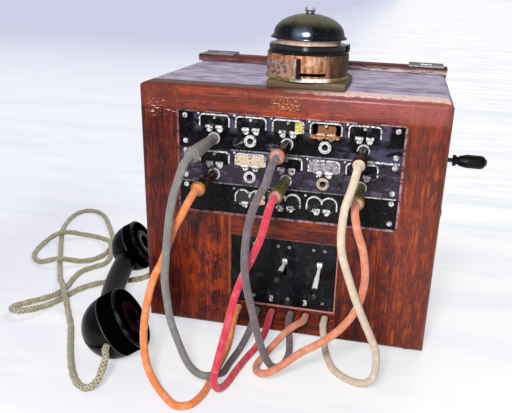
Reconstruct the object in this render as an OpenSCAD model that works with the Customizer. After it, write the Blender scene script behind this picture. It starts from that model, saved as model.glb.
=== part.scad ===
// Portable wooden telephone switchboard: ten lines, three cord pairs, hand generator and bell.
// Millimetres. X runs across the front, Y into the case, Z up; the origin is on the table
// under the middle of the case.

/* [Case] */
// Width of the case
case_w = 315; // [305:1:330]
// Height of the case above its feet
case_h = 272; // [268:1:290]
// Depth of the boards behind the front frame
body_d = 177; // [165:1:200]
// Thickness of the front frame
front_t = 27; // [22:0.5:32]
// Thickness of the side, top, bottom and shelf boards
board_t = 12; // [9:0.5:14]
// Thickness of the rear door
door_t = 10; // [8:0.5:14]
// Rounding of the front frame's outer edges
edge_r = 7; // [2:0.5:10]
// Rounding of the case's two upper corners, seen from the front
corner_r = 8; // [4:0.5:9]
// Height of the feet
foot_h = 4; // [3:0.5:10]
// Diameter of the feet
foot_d = 18; // [12:1:24]
// Distance of the feet's centres from the sides of the case
foot_inset = 18; // [14:1:30]
// Depth of the batten along the top's rear edge
batten_d = 14; // [10:1:20]
// Height of the batten
batten_h = 8.5; // [5:0.5:12]

/* [Rear hinges] */
// Width of each hinge
hinge_w = 42; // [30:1:60]
// Distance of the hinges from the middle
hinge_x = 132; // [80:1:134]
// Thickness of the hinge leaves
leaf_t = 1.5; // [1:0.1:2]
// Height of the leaf on the door
leaf_h = 22; // [14:1:40]
// Diameter of the hinge knuckle
knuckle_d = 5; // [4.4:0.1:6]
// Diameter of the hinge pin
hinge_pin_d = 2.5; // [1.5:0.1:3]

/* [Jack field] */
// Width of the jack field
field_w = 229; // [226:1:240]
// Distance of the jack field below the top of the case
field_drop = 26.5; // [20:0.5:40]
// Height of each line strip
strip_h = 37; // [36:0.5:40]
// Height of the clearing strip
clearing_strip_h = 32; // [30:0.5:36]
// Thickness of the strips
strip_t = 5; // [3:0.5:7]
// Depth of the strips and plates below the front face
recess = 1; // [0.5:0.1:3]
// Width of the ledge that the strip ends are screwed to
ledge_w = 14; // [11:0.5:15]
// Distance between neighbouring jacks
jack_pitch = 38.1; // [36:0.1:41]
// Distance of the jacks below the top of their strip
jack_drop = 25.5; // [25:0.1:27]
// Bore of the jacks
jack_bore = 6.6; // [6.45:0.05:7]
// Outer diameter of the jack rings
jack_ring_d = 12.5; // [11.5:0.1:13.5]
// How far the jack rings stand out
jack_proud = 4; // [2:0.5:6]
// Length of the jack springs behind the strips
jack_spring_l = 52; // [30:1:60]

/* [Drops] */
// Width of a shutter window
window_w = 29; // [26:0.5:30]
// Height of a shutter window
window_h = 11.4; // [10:0.2:12]
// Distance of the window centres below the top of their strip
window_drop = 8.3; // [8:0.1:9]
// Width of the bright rim round a window
rim_w = 1.3; // [0.8:0.1:1.6]
// How far the rim stands out
rim_proud = 2.4; // [2.2:0.1:3]
// Thickness of the shutters
shutter_t = 1.2; // [0.8:0.1:1.4]
// Diameter of the shutter hinge pins
shutter_pin_d = 1.6; // [1:0.1:1.8]
// Diameter of the drop coils
coil_d = 12.4; // [9:0.1:12.6]
// Length of the drop coils
coil_l = 38; // [20:1:48]

/* [Keys] */
// Width of each key plate
key_w = 38.5; // [37:0.5:41]
// Height of the wooden rail between the jack field and the key plates
rail_h = 24.5; // [20:0.5:30]
// Distance of the plates' lower edge from the bottom of the case
key_rise = 35.5; // [33:0.5:40]
// Thickness of the key plates
key_plate_t = 4; // [3:0.5:6]
// How far the levers stand out of the plates
lever_l = 36; // [24:1:42]
// Diameter of the lever handles
lever_d = 7.5; // [5:0.5:8]
// Throw of the levers to each side
key_throw = 20; // [10:1:22]
// Distance of the lever pivots behind the plates
pivot_back = 9; // [8:0.5:12]
// Diameter of the lever pivots
pivot_d = 3; // [2:0.1:4]

/* [Plugs and cords] */
// Diameter of the plug tips
tip_d = 6.35; // [5.5:0.05:6.4]
// Length of the plug tips
tip_l = 28; // [20:1:30]
// Diameter of the plug sleeves at the jack
sleeve_front_d = 10; // [8:0.1:11]
// Diameter of the plug sleeves at the cord
sleeve_back_d = 14; // [11:0.1:15]
// Diameter of all the cords
cord_d = 7.4; // [6:0.1:7.6]
// Height of the cord holes above the bottom of the case
cord_hole_rise = 26.6; // [24:0.2:28]
// Outer diameter of the cord bushes
bush_d = 12.5; // [11.5:0.1:14]

/* [Generator] */
// Height of the crank shaft above the bottom of the case
crank_rise = 126; // [124:1:132]
// Diameter of the crank shaft
shaft_d = 9.5; // [8:0.1:11]
// Distance of the grip from the shaft
crank_throw = 63.5; // [50:0.5:68]
// Thickness of the crank arm
arm_t = 5; // [3:0.5:6]
// Width of the crank arm
arm_w = 15; // [12:0.5:18]
// Length of the grip
grip_l = 35; // [28:1:50]
// Diameter of the grip
grip_d = 15.5; // [13:0.5:20]
// Diameter of the grip's pin
grip_pin_d = 5; // [4:0.1:6]
// Tooth module of the gears
gear_m = 1.25; // [1.1:0.01:1.28]
// Teeth on the large gear
gear_teeth = 48; // [44:1:50]
// Teeth on the pinion
pinion_teeth = 12; // [12:1:14]
// Width of the gears along the shaft
gear_face = 6; // [4:0.5:8]
// Number of horseshoe magnets
magnet_count = 4; // [2:1:4]
// Width of each magnet along the shaft
magnet_w = 14; // [10:0.5:15]
// Thickness of the magnets
magnet_t = 9; // [6:0.5:10]
// Diameter of the armature
armature_d = 30; // [24:0.5:31]
// Diameter of the armature shaft
armature_shaft_d = 6; // [4:0.1:7]

/* [Bell] */
// Distance of the bell's middle right of the case's middle
bell_x = 8; // [-20:1:20]
// Distance of the bell's middle behind the front face
bell_y = 53; // [48:1:70]
// Side of the square bell base
bell_base_w = 80; // [76:1:88]
// Depth of the bell's base
bell_base_d = 71; // [68:1:84]
// Thickness of the bell base
bell_base_t = 8; // [5:0.5:12]
// Diameter of the bell drum
drum_d = 84; // [80:1:90]
// Height of the bell drum
drum_h = 25; // [24:0.5:30]
// Wall of the bell drum
drum_wall = 1.6; // [1:0.1:2.5]
// Diameter of the black collar
collar_d = 81; // [78:0.5:82]
// Height of the black collar
collar_h = 9; // [7:0.5:12]
// Diameter of the gong
gong_d = 78; // [70:0.5:84]
// Height of the gong
gong_h = 24; // [20:0.5:30]
// Thickness of the gong
gong_t = 1.8; // [1.2:0.1:2.4]
// Diameter of the cut-out lever
cut_out_d = 7.5; // [5:0.5:9]

/* [Handset] */
// Distance between the two ends' middles
handset_l = 206; // [190:1:225]
// Diameter of the mouthpiece end
mouth_d = 68; // [62:1:72]
// Depth of the mouthpiece cap
mouth_cap_h = 21; // [18:1:28]
// Diameter of the earpiece end
ear_d = 64; // [58:1:66]
// Depth of the earpiece cap
ear_cap_h = 15; // [10:1:20]
// Diameter of the handle
handle_d = 26; // [20:0.5:28]
// Wall of the handset's cups and caps
cup_wall = 4; // [3:0.5:6]

/* [Hidden] */
$fn = 48;
eps = 0.01;
// Running clearance on a radius, and the clearance between parts that only pass each other
run = 0.05;
gap = 0.3;

// Case planes
front_y = -(front_t + body_d + door_t) / 2;
frame_back = front_y + front_t;
case_back = frame_back + body_d;
door_back = case_back + door_t;
top_z = foot_h + case_h;
side_in = case_w / 2 - board_t;
door_top = top_z + batten_h - gap;
shelf_z = foot_h + 54;

// Jack field
field_top = top_z - field_drop;
field_h = 2 * strip_h + clearing_strip_h;
field_bottom = field_top - field_h;
panel_y = front_y + recess;
panel_back = panel_y + strip_t;
lower_row_shift = 1.3;
strip_top = [field_top, field_top - strip_h, field_top - 2 * strip_h];
strip_size = [strip_h, strip_h, clearing_strip_h];
line_x = [for (i = [-2:2]) i * jack_pitch];
clearing_x = [for (i = [-1:1]) i * jack_pitch];
function window_z(row) = strip_top[row] - window_drop
    - (row == 1 ? lower_row_shift : 0) - (row == 2 ? window_h / 2 - 1.7 : 0);
function jack_z(row) = strip_top[row] - jack_drop - (row == 1 ? lower_row_shift - 0.3 : 0);
end_screw_x = field_w / 2 - ledge_w / 2 + 0.5;
strip_screw_z = [
    for (i = [0:2]) strip_top[i] - 4.5,
    for (i = [0:2]) strip_top[i] - strip_size[i] + 6
];
screw_d = 5.5;
screw_proud = 1;
screw_shank_d = 3;

// Shutters: the hinge axis is at the foot of the window, in front of the strip
shutter_gap = 0.4;
axis_out = rim_proud - shutter_t / 2 - 0.2;
arch_r = (window_w - 2) / 4;
arch_h = window_h + 2;
lug_r = shutter_pin_d / 2 + 1;
lug_w = 7.5;
lug_x = 5.25;
lug_drop = 5.2;
notch_w = 3.4;
notch_h = 3.4;
hook_d = 1.2;
hook_up = window_h / 2 - 1.3;
coil_down = 2.6;
plate_gap = 0.6;

// Keys
key_bottom = foot_h + key_rise;
key_top = field_bottom - rail_h;
key_h = key_top - key_bottom;
lever_z = key_bottom + 0.61 * key_h;
// Cheeks behind each plate and the springs between them, tied to the plate's height
cheek_h = 0.3 * key_h;
spring_step = cheek_h / 8;
cheek_back = 10;
slot_h = 22;
key_ledge = 11;
// Screws of each key plate: two over the slot, one at the lower right
key_screws = [[-6, key_top - 8.5], [6, key_top - 8.5], [6.5, key_bottom + 8.5]];
pivot_y = panel_y + key_plate_t + pivot_back;
key_x = [-key_w, 0, key_w];
// The third lever is drawn thrown down, as it stands
lever_tilt = [0, 0, key_throw];
slot_w = 9.5;
cheek_t = 2;
cheek_gap = 0.4;
lever_hub_w = 6;
lever_hub_d = pivot_d + 5;
spring_l = 34;

// Cords
cord_hole_z = foot_h + cord_hole_rise;
cord_hole_x = [-48.8, -27.4, -10.7, 10.7, 27.4, 48.8];
bush_bore = cord_d + 0.8;
bush_depth = 10;
wire_bore = 4;
entry_y = 30;
entry_z = 20;
jack_face = panel_y - jack_proud;
// Plugs: column of the jack, row, length of the sleeve
metal_plug = [[-2, 0, 70], [0, 1, 55], [2, 1, 51]];
brown_plug = [[-2, 1, 55], [0, 0, 52], [2, 0, 56]];

// Terminal block
terminal_l = 70;
terminal_w = 22;
terminal_h = 12;

// Generator
generator_l = 80;
crank_z = foot_h + crank_rise;
arm_in = case_w / 2 + 2;
arm_out = arm_in + arm_t;
grip_start = arm_out + 6;
grip_end = grip_start + grip_l;
centre_distance = gear_m * (gear_teeth + pinion_teeth) / 2;
armature_z = crank_z - centre_distance;
frame_right = side_in - 23.5;
frame_left = frame_right - generator_l;
end_plate_t = 4;
gear_x = frame_right + 3;
magnet_in = 19;
magnet_out = magnet_in + magnet_t;
magnet_gap = 1;
magnet_x = (frame_left + end_plate_t + frame_right - end_plate_t) / 2
    - (magnet_count * (magnet_w + magnet_gap) - magnet_gap) / 2;
frame_half = 33;
bearing_d = shaft_d + 7;

// Bell
bell_c = [bell_x, front_y + bell_y];
base_top = top_z + bell_base_t;
drum_top = base_top + drum_h;
collar_top = drum_top + collar_h;
band_r = 33;
gong_z = collar_top + 5;
gong_top = gong_z + gong_h;
post_d = 6;
boss_d = 10;
lever_r = drum_d / 2 + cut_out_d / 2 + 1.5;
lever_arm_z = base_top + 6;
lever_arm_t = 2.2;
bell_base_shift = 4.5;
cut_out_rest = -4;
cut_out_travel = 33;
bell_coil_x = 13;
bell_coil_y = 18;
bell_coil_d = 20;
bell_coil_h = 17;
clapper_axis_z = drum_top - 1.5;
clapper_pin_d = 2;

// Handset: it lies on the table on its side, its middle line along its own X
handset_turn = 108.5;
handset_tilt = 30;
handset_mid = [-193.7, -85.8, 33.2];
handset_dip = asin((mouth_d - ear_d) / 2 / handset_l);
mouth_tilt = -2;
ear_tilt = -6;
handle_bow = 10;
handle_back = 8;
capsule_h = 14;
cavity_deep = 10;
mouth_end = [-161, -183.5, mouth_d / 2 + 0.2];
handset_exit = [-155, -215, 30.5];

// Routes of the cords: from the bush out and round to the plug
route_1 = [
    [-48.8, -122, 29], [-49, -129, 23.5], [-49, -137, 15], [-49, -146, 8], [-49, -158, 4.2],
    [-49, -180, 4], [-49, -206, 4], [-50, -230, 4], [-56, -248, 4], [-69, -254, 5],
    [-82, -248, 9], [-95, -239, 15], [-106, -230, 26], [-113, -220, 43], [-114, -214, 64],
    [-112, -206, 88], [-108, -200, 106], [-101, -195, 122], [-95.5, -193.5, 138],
    [-90.5, -190, 154], [-85, -186.5, 165], [-80.5, -183.5, 175], [-77.5, -178.5, 182]
];
route_2 = [
    [-27.4, -122, 29], [-28, -129, 24.5], [-30, -137, 17.5], [-33, -147, 10.5], [-36, -160, 6.5],
    [-39, -178, 5.5], [-40, -194, 6], [-42, -204, 10], [-46, -212, 13], [-53, -218, 15.5],
    [-61, -219, 19], [-70, -217, 27], [-79, -213, 42], [-89, -209, 66], [-92.5, -207.5, 87],
    [-94, -208, 108], [-92.5, -208, 128], [-90, -208, 151], [-87.5, -206, 175],
    [-84.5, -204, 192], [-81.5, -201, 204], [-79, -198.5, 213], [-77.3, -193.5, 220]
];
route_3 = [
    [-10.7, -122, 29], [-11, -129, 24], [-14, -138, 15.5], [-19, -149, 8], [-25, -163, 4.2],
    [-29.5, -188, 4], [-32, -206, 4], [-34.5, -217, 4.8], [-36.5, -226, 9.5], [-38.5, -231, 18],
    [-38.5, -230.5, 28], [-36.5, -224, 42], [-33, -213, 64], [-30, -206, 82], [-26.5, -199, 100],
    [-21.5, -191.5, 116], [-15, -187, 132], [-8, -187, 150], [-4, -186, 165], [-2, -183.5, 175],
    [-0.7, -178.5, 182]
];
route_4 = [
    [11.5, -122, 28.5], [13.5, -129, 23], [16, -137, 14.5], [17.5, -146, 7.5], [16.5, -156, 4.2],
    [14, -166, 4.2], [10, -175, 6.5], [6, -181.5, 12], [2, -186, 21.5], [-3, -190, 38],
    [-8, -194, 62], [-12, -199, 88], [-15.5, -203, 110], [-17.5, -204, 134], [-17, -200, 160],
    [-14, -194, 180], [-9, -189, 195], [-4.5, -183.5, 204], [-2.5, -180.5, 213],
    [-0.9, -175.5, 220]
];
route_5 = [
    [26, -122, 31.5], [20.5, -130, 31.5], [12.5, -138, 27], [4, -147, 19], [-3, -157, 12.5],
    [-8.5, -167, 8.5], [-10.5, -177, 6.5], [-8, -186.5, 7], [-1, -193, 10], [8, -195.5, 15],
    [20, -193.5, 24], [36, -190, 38], [50, -189, 48], [64, -187, 59], [76, -184.5, 72],
    [85, -182, 87], [90, -181, 105], [91.5, -184, 126], [88, -184, 149], [82, -182, 165],
    [79, -179.5, 175], [77, -174.5, 182]
];
route_6 = [
    [49.2, -122, 29], [51, -129, 24], [54, -138, 15.5], [59, -148, 8], [66, -159, 4.2],
    [76, -169, 4], [86, -175, 4], [95, -178, 4.8], [102, -180.5, 8.5], [107, -182, 15],
    [109.3, -183, 25], [109.5, -183, 37], [107.5, -184.5, 50], [101, -188, 67], [92, -191, 88],
    [84, -193, 108], [76, -195, 131], [70, -197, 151], [68, -197, 170], [69, -193, 192],
    [72, -187.5, 204], [74.3, -184.5, 213], [75.6, -179.5, 220]
];
// Rest of the handset cord's route after it leaves the handset, ending at the case's left side
handset_route = [
    [-149.5, -229, 27.5], [-148.5, -238.5, 21], [-150, -246, 13], [-156, -250, 6.5],
    [-166, -249, 4], [-178, -240, 4], [-192, -222, 4], [-208, -196, 4], [-232, -153, 4],
    [-248, -130, 5.5], [-258, -115.5, 9], [-267, -103, 12], [-276, -90.5, 13],
    [-285, -78.5, 12.5], [-294, -66, 9], [-305, -50.5, 5], [-327, -14, 4], [-346, 20, 4],
    [-366, 56, 4], [-387, 96, 4], [-399, 134, 4], [-402, 166, 4], [-394, 183, 4], [-376, 184, 4],
    [-354, 168, 4], [-326, 130, 4], [-301, 90, 4], [-288, 60, 4], [-285, 34, 4], [-292, 14, 4],
    [-304, 0, 6], [-316, -7.5, 10], [-327, -12, 12.5], [-339, -15.5, 10.5], [-352, -15.5, 6],
    [-366, -9, 4], [-378, 6, 4], [-384, 26, 4.5], [-383.5, 43, 7], [-380, 56, 10.5],
    [-373.5, 68, 12.6], [-363, 79, 10.5], [-350, 85, 6.5], [-330, 87, 4.5], [-310, 79, 6],
    [-296, 66, 10], [-285.5, 52, 12.6], [-277, 38, 10], [-271, 22, 6], [-271, 6, 4],
    [-280, -8, 4], [-289, -24, 4], [-289, -46, 4], [-285, -68, 4], [-286.5, -87.5, 4],
    [-295.5, -102, 4], [-306.5, -114, 4], [-315, -124.5, 4.5], [-317, -134.5, 6],
    [-312, -142.5, 8], [-303, -145.5, 9.5], [-293, -141, 9.5], [-285, -129, 7.5],
    [-279, -112, 5], [-274, -92, 4], [-268, -72, 4], [-256, -54, 4], [-240, -42, 4],
    [-220, -33, 4], [-205, -22, 4], [-197, -9, 4.5], [-192, 1, 7], [-188, 11, 10.5],
    [-182.5, 20, 15.5], [-175.5, 26.5, 20.5]
];

// Shared shapes
module rod_x(d, x0, x1, y, z)
    translate([x0, y, z]) rotate([0, 90, 0]) cylinder(d = d, h = x1 - x0);

// A cylinder along +Y from y0 to y1
module rod_y(d, x, y0, y1, z)
    translate([x, y0, z]) rotate([-90, 0, 0]) cylinder(d = d, h = y1 - y0);

// Upright board outline with its two front corners rounded, seen along the third axis
module rounded_front(w, d, r) {
    translate([-w / 2, r]) square([w, d - r]);
    translate([-w / 2 + r, 0]) square([w - 2 * r, r + eps]);
    for (side = [-1, 1]) translate([side * (w / 2 - r), r]) circle(r = r);
}

// Centred rectangle with round corners
module soft_rect(w, h, r) {
    square([w - 2 * r, h], center = true);
    square([w, h - 2 * r], center = true);
    for (x = [-1, 1], y = [-1, 1]) translate([x * (w / 2 - r), y * (h / 2 - r)]) circle(r = r);
}

// Extrudes a front-view outline (x, z) backwards in Y from y0 by t
module facing(y0, t) translate([0, y0 + t, 0]) rotate([90, 0, 0]) linear_extrude(t) children();

// Case
// Front view of the case, its upper corners rounded
module case_outline() {
    translate([-case_w / 2, foot_h]) square([case_w, case_h - corner_r]);
    translate([-case_w / 2 + corner_r, foot_h]) square([case_w - 2 * corner_r, case_h]);
    for (side = [-1, 1]) translate([side * (case_w / 2 - corner_r), top_z - corner_r]) circle(r = corner_r);
}

module front_frame() color("#7a2e1c") difference() {
    intersection() {
        facing(front_y, front_t) case_outline();
        translate([0, front_y, foot_h]) linear_extrude(case_h) rounded_front(case_w, front_t, edge_r);
        translate([-case_w / 2, front_y, foot_h + case_h / 2]) rotate([90, 0, 90])
            linear_extrude(case_w) rotate(-90) rounded_front(case_h, front_t, edge_r);
    }
    translate([-field_w / 2, front_y - eps, field_bottom]) cube([field_w, recess + strip_t + eps, field_h]);
    translate([-field_w / 2 + ledge_w, front_y, field_bottom])
        cube([field_w - 2 * ledge_w, front_t + eps, field_h]);
    translate([-1.5 * key_w, front_y - eps, key_bottom])
        cube([3 * key_w, recess + key_plate_t + eps, key_h]);
    translate([-1.5 * key_w, front_y, key_bottom + key_ledge])
        cube([3 * key_w, front_t + eps, key_h - 2 * key_ledge]);
    for (x = cord_hole_x) rod_y(bush_d, x, front_y - eps, frame_back + eps, cord_hole_z);
}

module top_board() color("#8d8093") intersection() {
    translate([-case_w / 2, frame_back, top_z - board_t]) cube([case_w, body_d, board_t]);
    facing(frame_back, body_d) case_outline();
}

module case_carcass() color("#6d2a1b") {
    difference() {
        for (side = [0, 1]) translate([side ? side_in : -case_w / 2, frame_back, foot_h])
            cube([board_t, body_d, case_h - board_t]);
        rod_x(bearing_d, side_in - eps, case_w / 2 + eps, 0, crank_z);
        rod_x(bush_d, -case_w / 2 - eps, -side_in + eps, entry_y, entry_z + foot_h);
    }
    translate([-side_in, frame_back, foot_h]) cube([2 * side_in, body_d, board_t]);
    translate([-side_in, -45, shelf_z]) cube([2 * side_in, 105, board_t - 2]);
}

module rear_batten() color("#6b2417")
    translate([-case_w / 2, case_back - batten_d / 2, top_z + batten_h / 2]) rotate([90, 0, 90])
        linear_extrude(case_w) soft_rect(batten_d, batten_h, 2);

module rear_door() color("#74301f")
    translate([-case_w / 2, case_back, foot_h]) cube([case_w, door_t, door_top - foot_h]);

// The hinge axis lies over the door's rear edge
hinge_y = door_back + knuckle_d / 2;
hinge_z = top_z + batten_h;
knuckle_w = (hinge_w - 4 * gap) / 3;

module hinge_case_leaves() color("#a9a9ad") for (x = [-hinge_x, hinge_x]) {
    difference() {
        translate([x - hinge_w / 2, case_back - batten_d + 1, hinge_z])
            cube([hinge_w, batten_d - 1 + door_t, leaf_t]);
        translate([x - knuckle_w / 2 - gap, case_back - eps, hinge_z - eps])
            cube([knuckle_w + 2 * gap, door_t + knuckle_d, leaf_t + 1]);
    }
    for (side = [-1, 1]) {
        x0 = side < 0 ? x - hinge_w / 2 : x + knuckle_w / 2 + gap;
        rod_x(knuckle_d, x0, x0 + knuckle_w + gap, hinge_y, hinge_z);
        translate([x0, door_back - 1, hinge_z]) cube([knuckle_w + gap, knuckle_d / 2 + 1, leaf_t]);
    }
    rod_x(hinge_pin_d, x - hinge_w / 2, x + hinge_w / 2, hinge_y, hinge_z);
}

module hinge_door_leaves() color("#9c9ca1") for (x = [-hinge_x, hinge_x]) difference() {
    union() {
        translate([x - hinge_w / 2, door_back, hinge_z - leaf_h])
            cube([hinge_w, leaf_t, leaf_h - knuckle_d / 2 - gap]);
        translate([x - knuckle_w / 2, door_back, hinge_z - knuckle_d / 2 - 1])
            cube([knuckle_w, leaf_t, knuckle_d / 2 + 1]);
        rod_x(knuckle_d, x - knuckle_w / 2, x + knuckle_w / 2, hinge_y, hinge_z);
    }
    rod_x(hinge_pin_d + 2 * run, x - hinge_w, x + hinge_w, hinge_y, hinge_z);
}

module feet() color("#3b3634")
    for (x = [-1, 1], y = [-1, 1])
        translate([x * (case_w / 2 - foot_inset), y * (door_back - foot_inset), 0])
            cylinder(d = foot_d, h = foot_h);

// Front panel
module arch_outline(grow) for (side = [-1, 1]) translate([side * (window_w - 2 * arch_r) / 2, 0]) {
    translate([0, arch_h / 2 - arch_r]) circle(r = arch_r + grow);
    translate([-arch_r - grow, -arch_h / 2]) square([2 * (arch_r + grow), arch_h - arch_r]);
}

// Window outline, with grow added at the sides and top
module window_outline(row, grow) {
    if (row < 2) {
        r = 3 + grow;
        w = window_w / 2 + grow;
        translate([-w, -window_h / 2]) square([2 * w, window_h + grow - r]);
        translate([-w + r, -window_h / 2]) square([2 * (w - r), window_h + grow]);
        for (side = [-1, 1]) translate([side * (w - r), window_h / 2 + grow - r]) circle(r = r);
    } else {
        arch_outline(grow);
        translate([-window_w / 2 + arch_r, -arch_h / 2]) square([window_w - 2 * arch_r, arch_h / 2]);
    }
}
function window_size(row) = row < 2 ? window_h : arch_h;
function window_foot(row) = window_z(row) - window_size(row) / 2;

module each_window(rows) for (row = rows, x = row < 2 ? line_x : clearing_x)
    translate([x, 0, window_z(row)]) { $row = row; children(); }

module panel_strips() color("#17161a") difference() {
    for (i = [0:2]) translate([-field_w / 2 + 0.2, panel_y, strip_top[i] - strip_size[i]])
        cube([field_w - 0.4, strip_t, strip_size[i] - 0.25]);
    each_window([0, 1, 2]) facing(panel_y - 1, strip_t + 2) window_outline($row, -1);
    for (row = [0, 1], x = line_x)
        rod_y(jack_ring_d - 2.6, x, panel_y - 1, panel_back + 1, jack_z(row));
    for (x = [-end_screw_x, end_screw_x], z = strip_screw_z)
        rod_y(screw_shank_d + 0.2, x, panel_y - 1, panel_back + 1, z);
}

module screw(x, z, l) {
    rod_y(screw_d, x, panel_y - screw_proud, panel_y, z);
    rod_y(screw_shank_d, x, panel_y - eps, panel_y + l, z);
}

module panel_screws() color("#c9c7c2") {
    for (x = [-end_screw_x, end_screw_x], z = strip_screw_z) screw(x, z, strip_t);
    for (x = key_x, at = key_screws) screw(x + at[0], at[1], key_plate_t);
}

module hinge_lugs(row) for (side = [-1, 1]) translate([side * lug_x, 0, -window_size(row) / 2]) difference() {
    union() {
        translate([-lug_w / 2, panel_y - axis_out, 0]) rotate([0, 90, 0]) cylinder(r = lug_r, h = lug_w);
        translate([-lug_w / 2, panel_y - axis_out, -lug_r]) cube([lug_w, axis_out, 2 * lug_r]);
        translate([-lug_w / 4, panel_y - axis_out / 2, -lug_drop]) cube([lug_w / 2, axis_out / 2, lug_drop]);
    }
    translate([-lug_w, panel_y - axis_out, 0]) rotate([0, 90, 0])
        cylinder(d = shutter_pin_d + 2 * run, h = 2 * lug_w);
}

module drop_frames() color("#cfcdc6") each_window([0, 1, 2]) {
    facing(panel_y - rim_proud, rim_proud) difference() {
        window_outline($row, shutter_gap + rim_w);
        window_outline($row, shutter_gap);
        translate([-window_w, -window_size($row) / 2 - 1]) square([2 * window_w, 1.6]);
    }
    hinge_lugs($row);
}

// Coil, core, plates and the latch rod with its hook, behind one window
module drop_magnets() color("#8b6f3a") each_window([0, 1, 2]) {
    up = hook_up + ($row == 2 ? 1 : 0);
    translate([-9, panel_back, -coil_down - coil_d / 2 - 1]) cube([18, 1.6, coil_d + 0.8]);
    rod_y(5, 0, panel_back, panel_back + coil_l + 4, -coil_down);
    difference() {
        rod_y(coil_d, 0, panel_back + 1.6 + plate_gap, panel_back + 1.6 + coil_l, -coil_down);
        rod_y(5 + 2 * run, 0, panel_back, panel_back + coil_l + 4, -coil_down);
    }
    translate([-7, panel_back + coil_l + 2.2, -coil_down - coil_d / 2]) cube([14, 2, coil_d + 2.2]);
    rod_y(hook_d, 0, panel_y - axis_out - 0.4, panel_back + coil_l + 3, up);
    translate([-hook_d / 2, panel_back + coil_l + 2.2, coil_d / 2 - coil_down])
        cube([hook_d, 2, up - coil_d / 2 + coil_down]);
    translate([-hook_d / 2, panel_y - axis_out - 1, up - 1.4]) cube([hook_d, 0.8, 2]);
}

// A shutter, hinged at the foot of its window. Tilt 90 is fallen.
module shutter(row, x, tilt) translate([x, panel_y - axis_out, window_foot(row)]) rotate([tilt, 0, 0]) {
    outer = lug_x + lug_w / 2;
    rod_x(shutter_pin_d, -outer - 1.5, outer + 1.5, 0, 0);
    translate([0, -shutter_t / 2, window_size(row) / 2]) facing(0, shutter_t) difference() {
        window_outline(row, 0);
        translate([-notch_w / 2, window_h / 2 - notch_h]) square([notch_w, notch_h + 3]);
        for (side = [-1, 1]) translate([side * lug_x - lug_w / 2 - 0.3, -window_size(row) / 2 - 1])
            square([lug_w + 0.6, lug_r + 1.3]);
    }
    translate([-lug_x + lug_w / 2 + 0.3, -shutter_t / 2, 0])
        cube([2 * lug_x - lug_w - 0.6, shutter_t, lug_r + 0.6]);
}

module line_shutter_1() color("#1b1a1c") shutter(0, line_x[0], 0);
module line_shutter_2() color("#1b1a1c") shutter(0, line_x[1], 0);
module line_shutter_3() color("#1b1a1c") shutter(0, line_x[2], 0);
module line_shutter_4() color("#1b1a1c") shutter(0, line_x[3], 90);
module line_shutter_5() color("#1b1a1c") shutter(0, line_x[4], 0);
module line_shutter_6() color("#232226") shutter(1, line_x[0], 0);
module line_shutter_7() color("#d8cdb4") shutter(1, line_x[1], 0);
module line_shutter_8() color("#232226") shutter(1, line_x[2], 0);
module line_shutter_9() color("#9a9397") shutter(1, line_x[3], 0);
module line_shutter_10() color("#232226") shutter(1, line_x[4], 0);
module clearing_shutter_1() color("#1b1a1c") shutter(2, clearing_x[0], 0);
module clearing_shutter_2() color("#1b1a1c") shutter(2, clearing_x[1], 0);
module clearing_shutter_3() color("#1b1a1c") shutter(2, clearing_x[2], 0);

// Ring and sleeve in the strip, nut behind it, and a frame with two springs
module line_jacks() color("#d6d3cc") for (row = [0, 1], x = line_x) {
    z = jack_z(row);
    difference() {
        union() {
            rod_y(jack_ring_d, x, panel_y - jack_proud, panel_y, z);
            rod_y(jack_ring_d - 3, x, panel_y - eps, panel_back + 8, z);
            rod_y(jack_ring_d, x, panel_back, panel_back + 3, z);
        }
        rod_y(jack_bore, x, panel_y - jack_proud - 1, panel_back + 9, z);
    }
    for (side = [-1, 1])
        translate([x - 3, panel_back + 3, z + (side > 0 ? jack_ring_d / 2 - 1.2 : -jack_ring_d / 2)])
            cube([6, jack_spring_l, 1.2]);
    translate([x - 3, panel_back + 3 + jack_spring_l - 6, z - jack_ring_d / 2 + 1])
        cube([6, 6, jack_ring_d - 2]);
}

// Keys
module key_plates() color("#141316") difference() {
    for (x = key_x) translate([x - key_w / 2 + 0.1, panel_y, key_bottom + 0.2])
        cube([key_w - 0.2, key_plate_t, key_h - 0.4]);
    for (x = key_x) {
        translate([x - slot_w / 2, panel_y - 1, lever_z - slot_h / 2])
            cube([slot_w, key_plate_t + 2, slot_h]);
        for (at = key_screws)
            rod_y(screw_shank_d + 0.2, x + at[0], panel_y - 1, panel_y + key_plate_t + 1, at[1]);
    }
}

// A lever on its hub; tilt is downwards
module key_lever(i) translate([key_x[i], pivot_y, lever_z]) rotate([lever_tilt[i], 0, 0]) {
    reach = pivot_back + key_plate_t + lever_l;
    difference() {
        union() {
            rod_x(lever_hub_d, -lever_hub_w / 2, lever_hub_w / 2, 0, 0);
            rod_y(4, 0, -reach + 26, 0, 0);
        }
        rod_x(pivot_d + 2 * run, -lever_hub_w, lever_hub_w, 0, 0);
    }
    translate([0, -reach + 26 + lever_d / 2, 0]) rotate([90, 0, 0])
        cylinder(d1 = lever_d - 2, d2 = lever_d, h = 26);
    translate([0, -reach + lever_d / 2, 0]) sphere(d = lever_d);
}
module key_lever_1() color("#0f0f11") key_lever(0);
module key_lever_2() color("#0f0f11") key_lever(1);
module key_lever_3() color("#0f0f11") key_lever(2);

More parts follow.
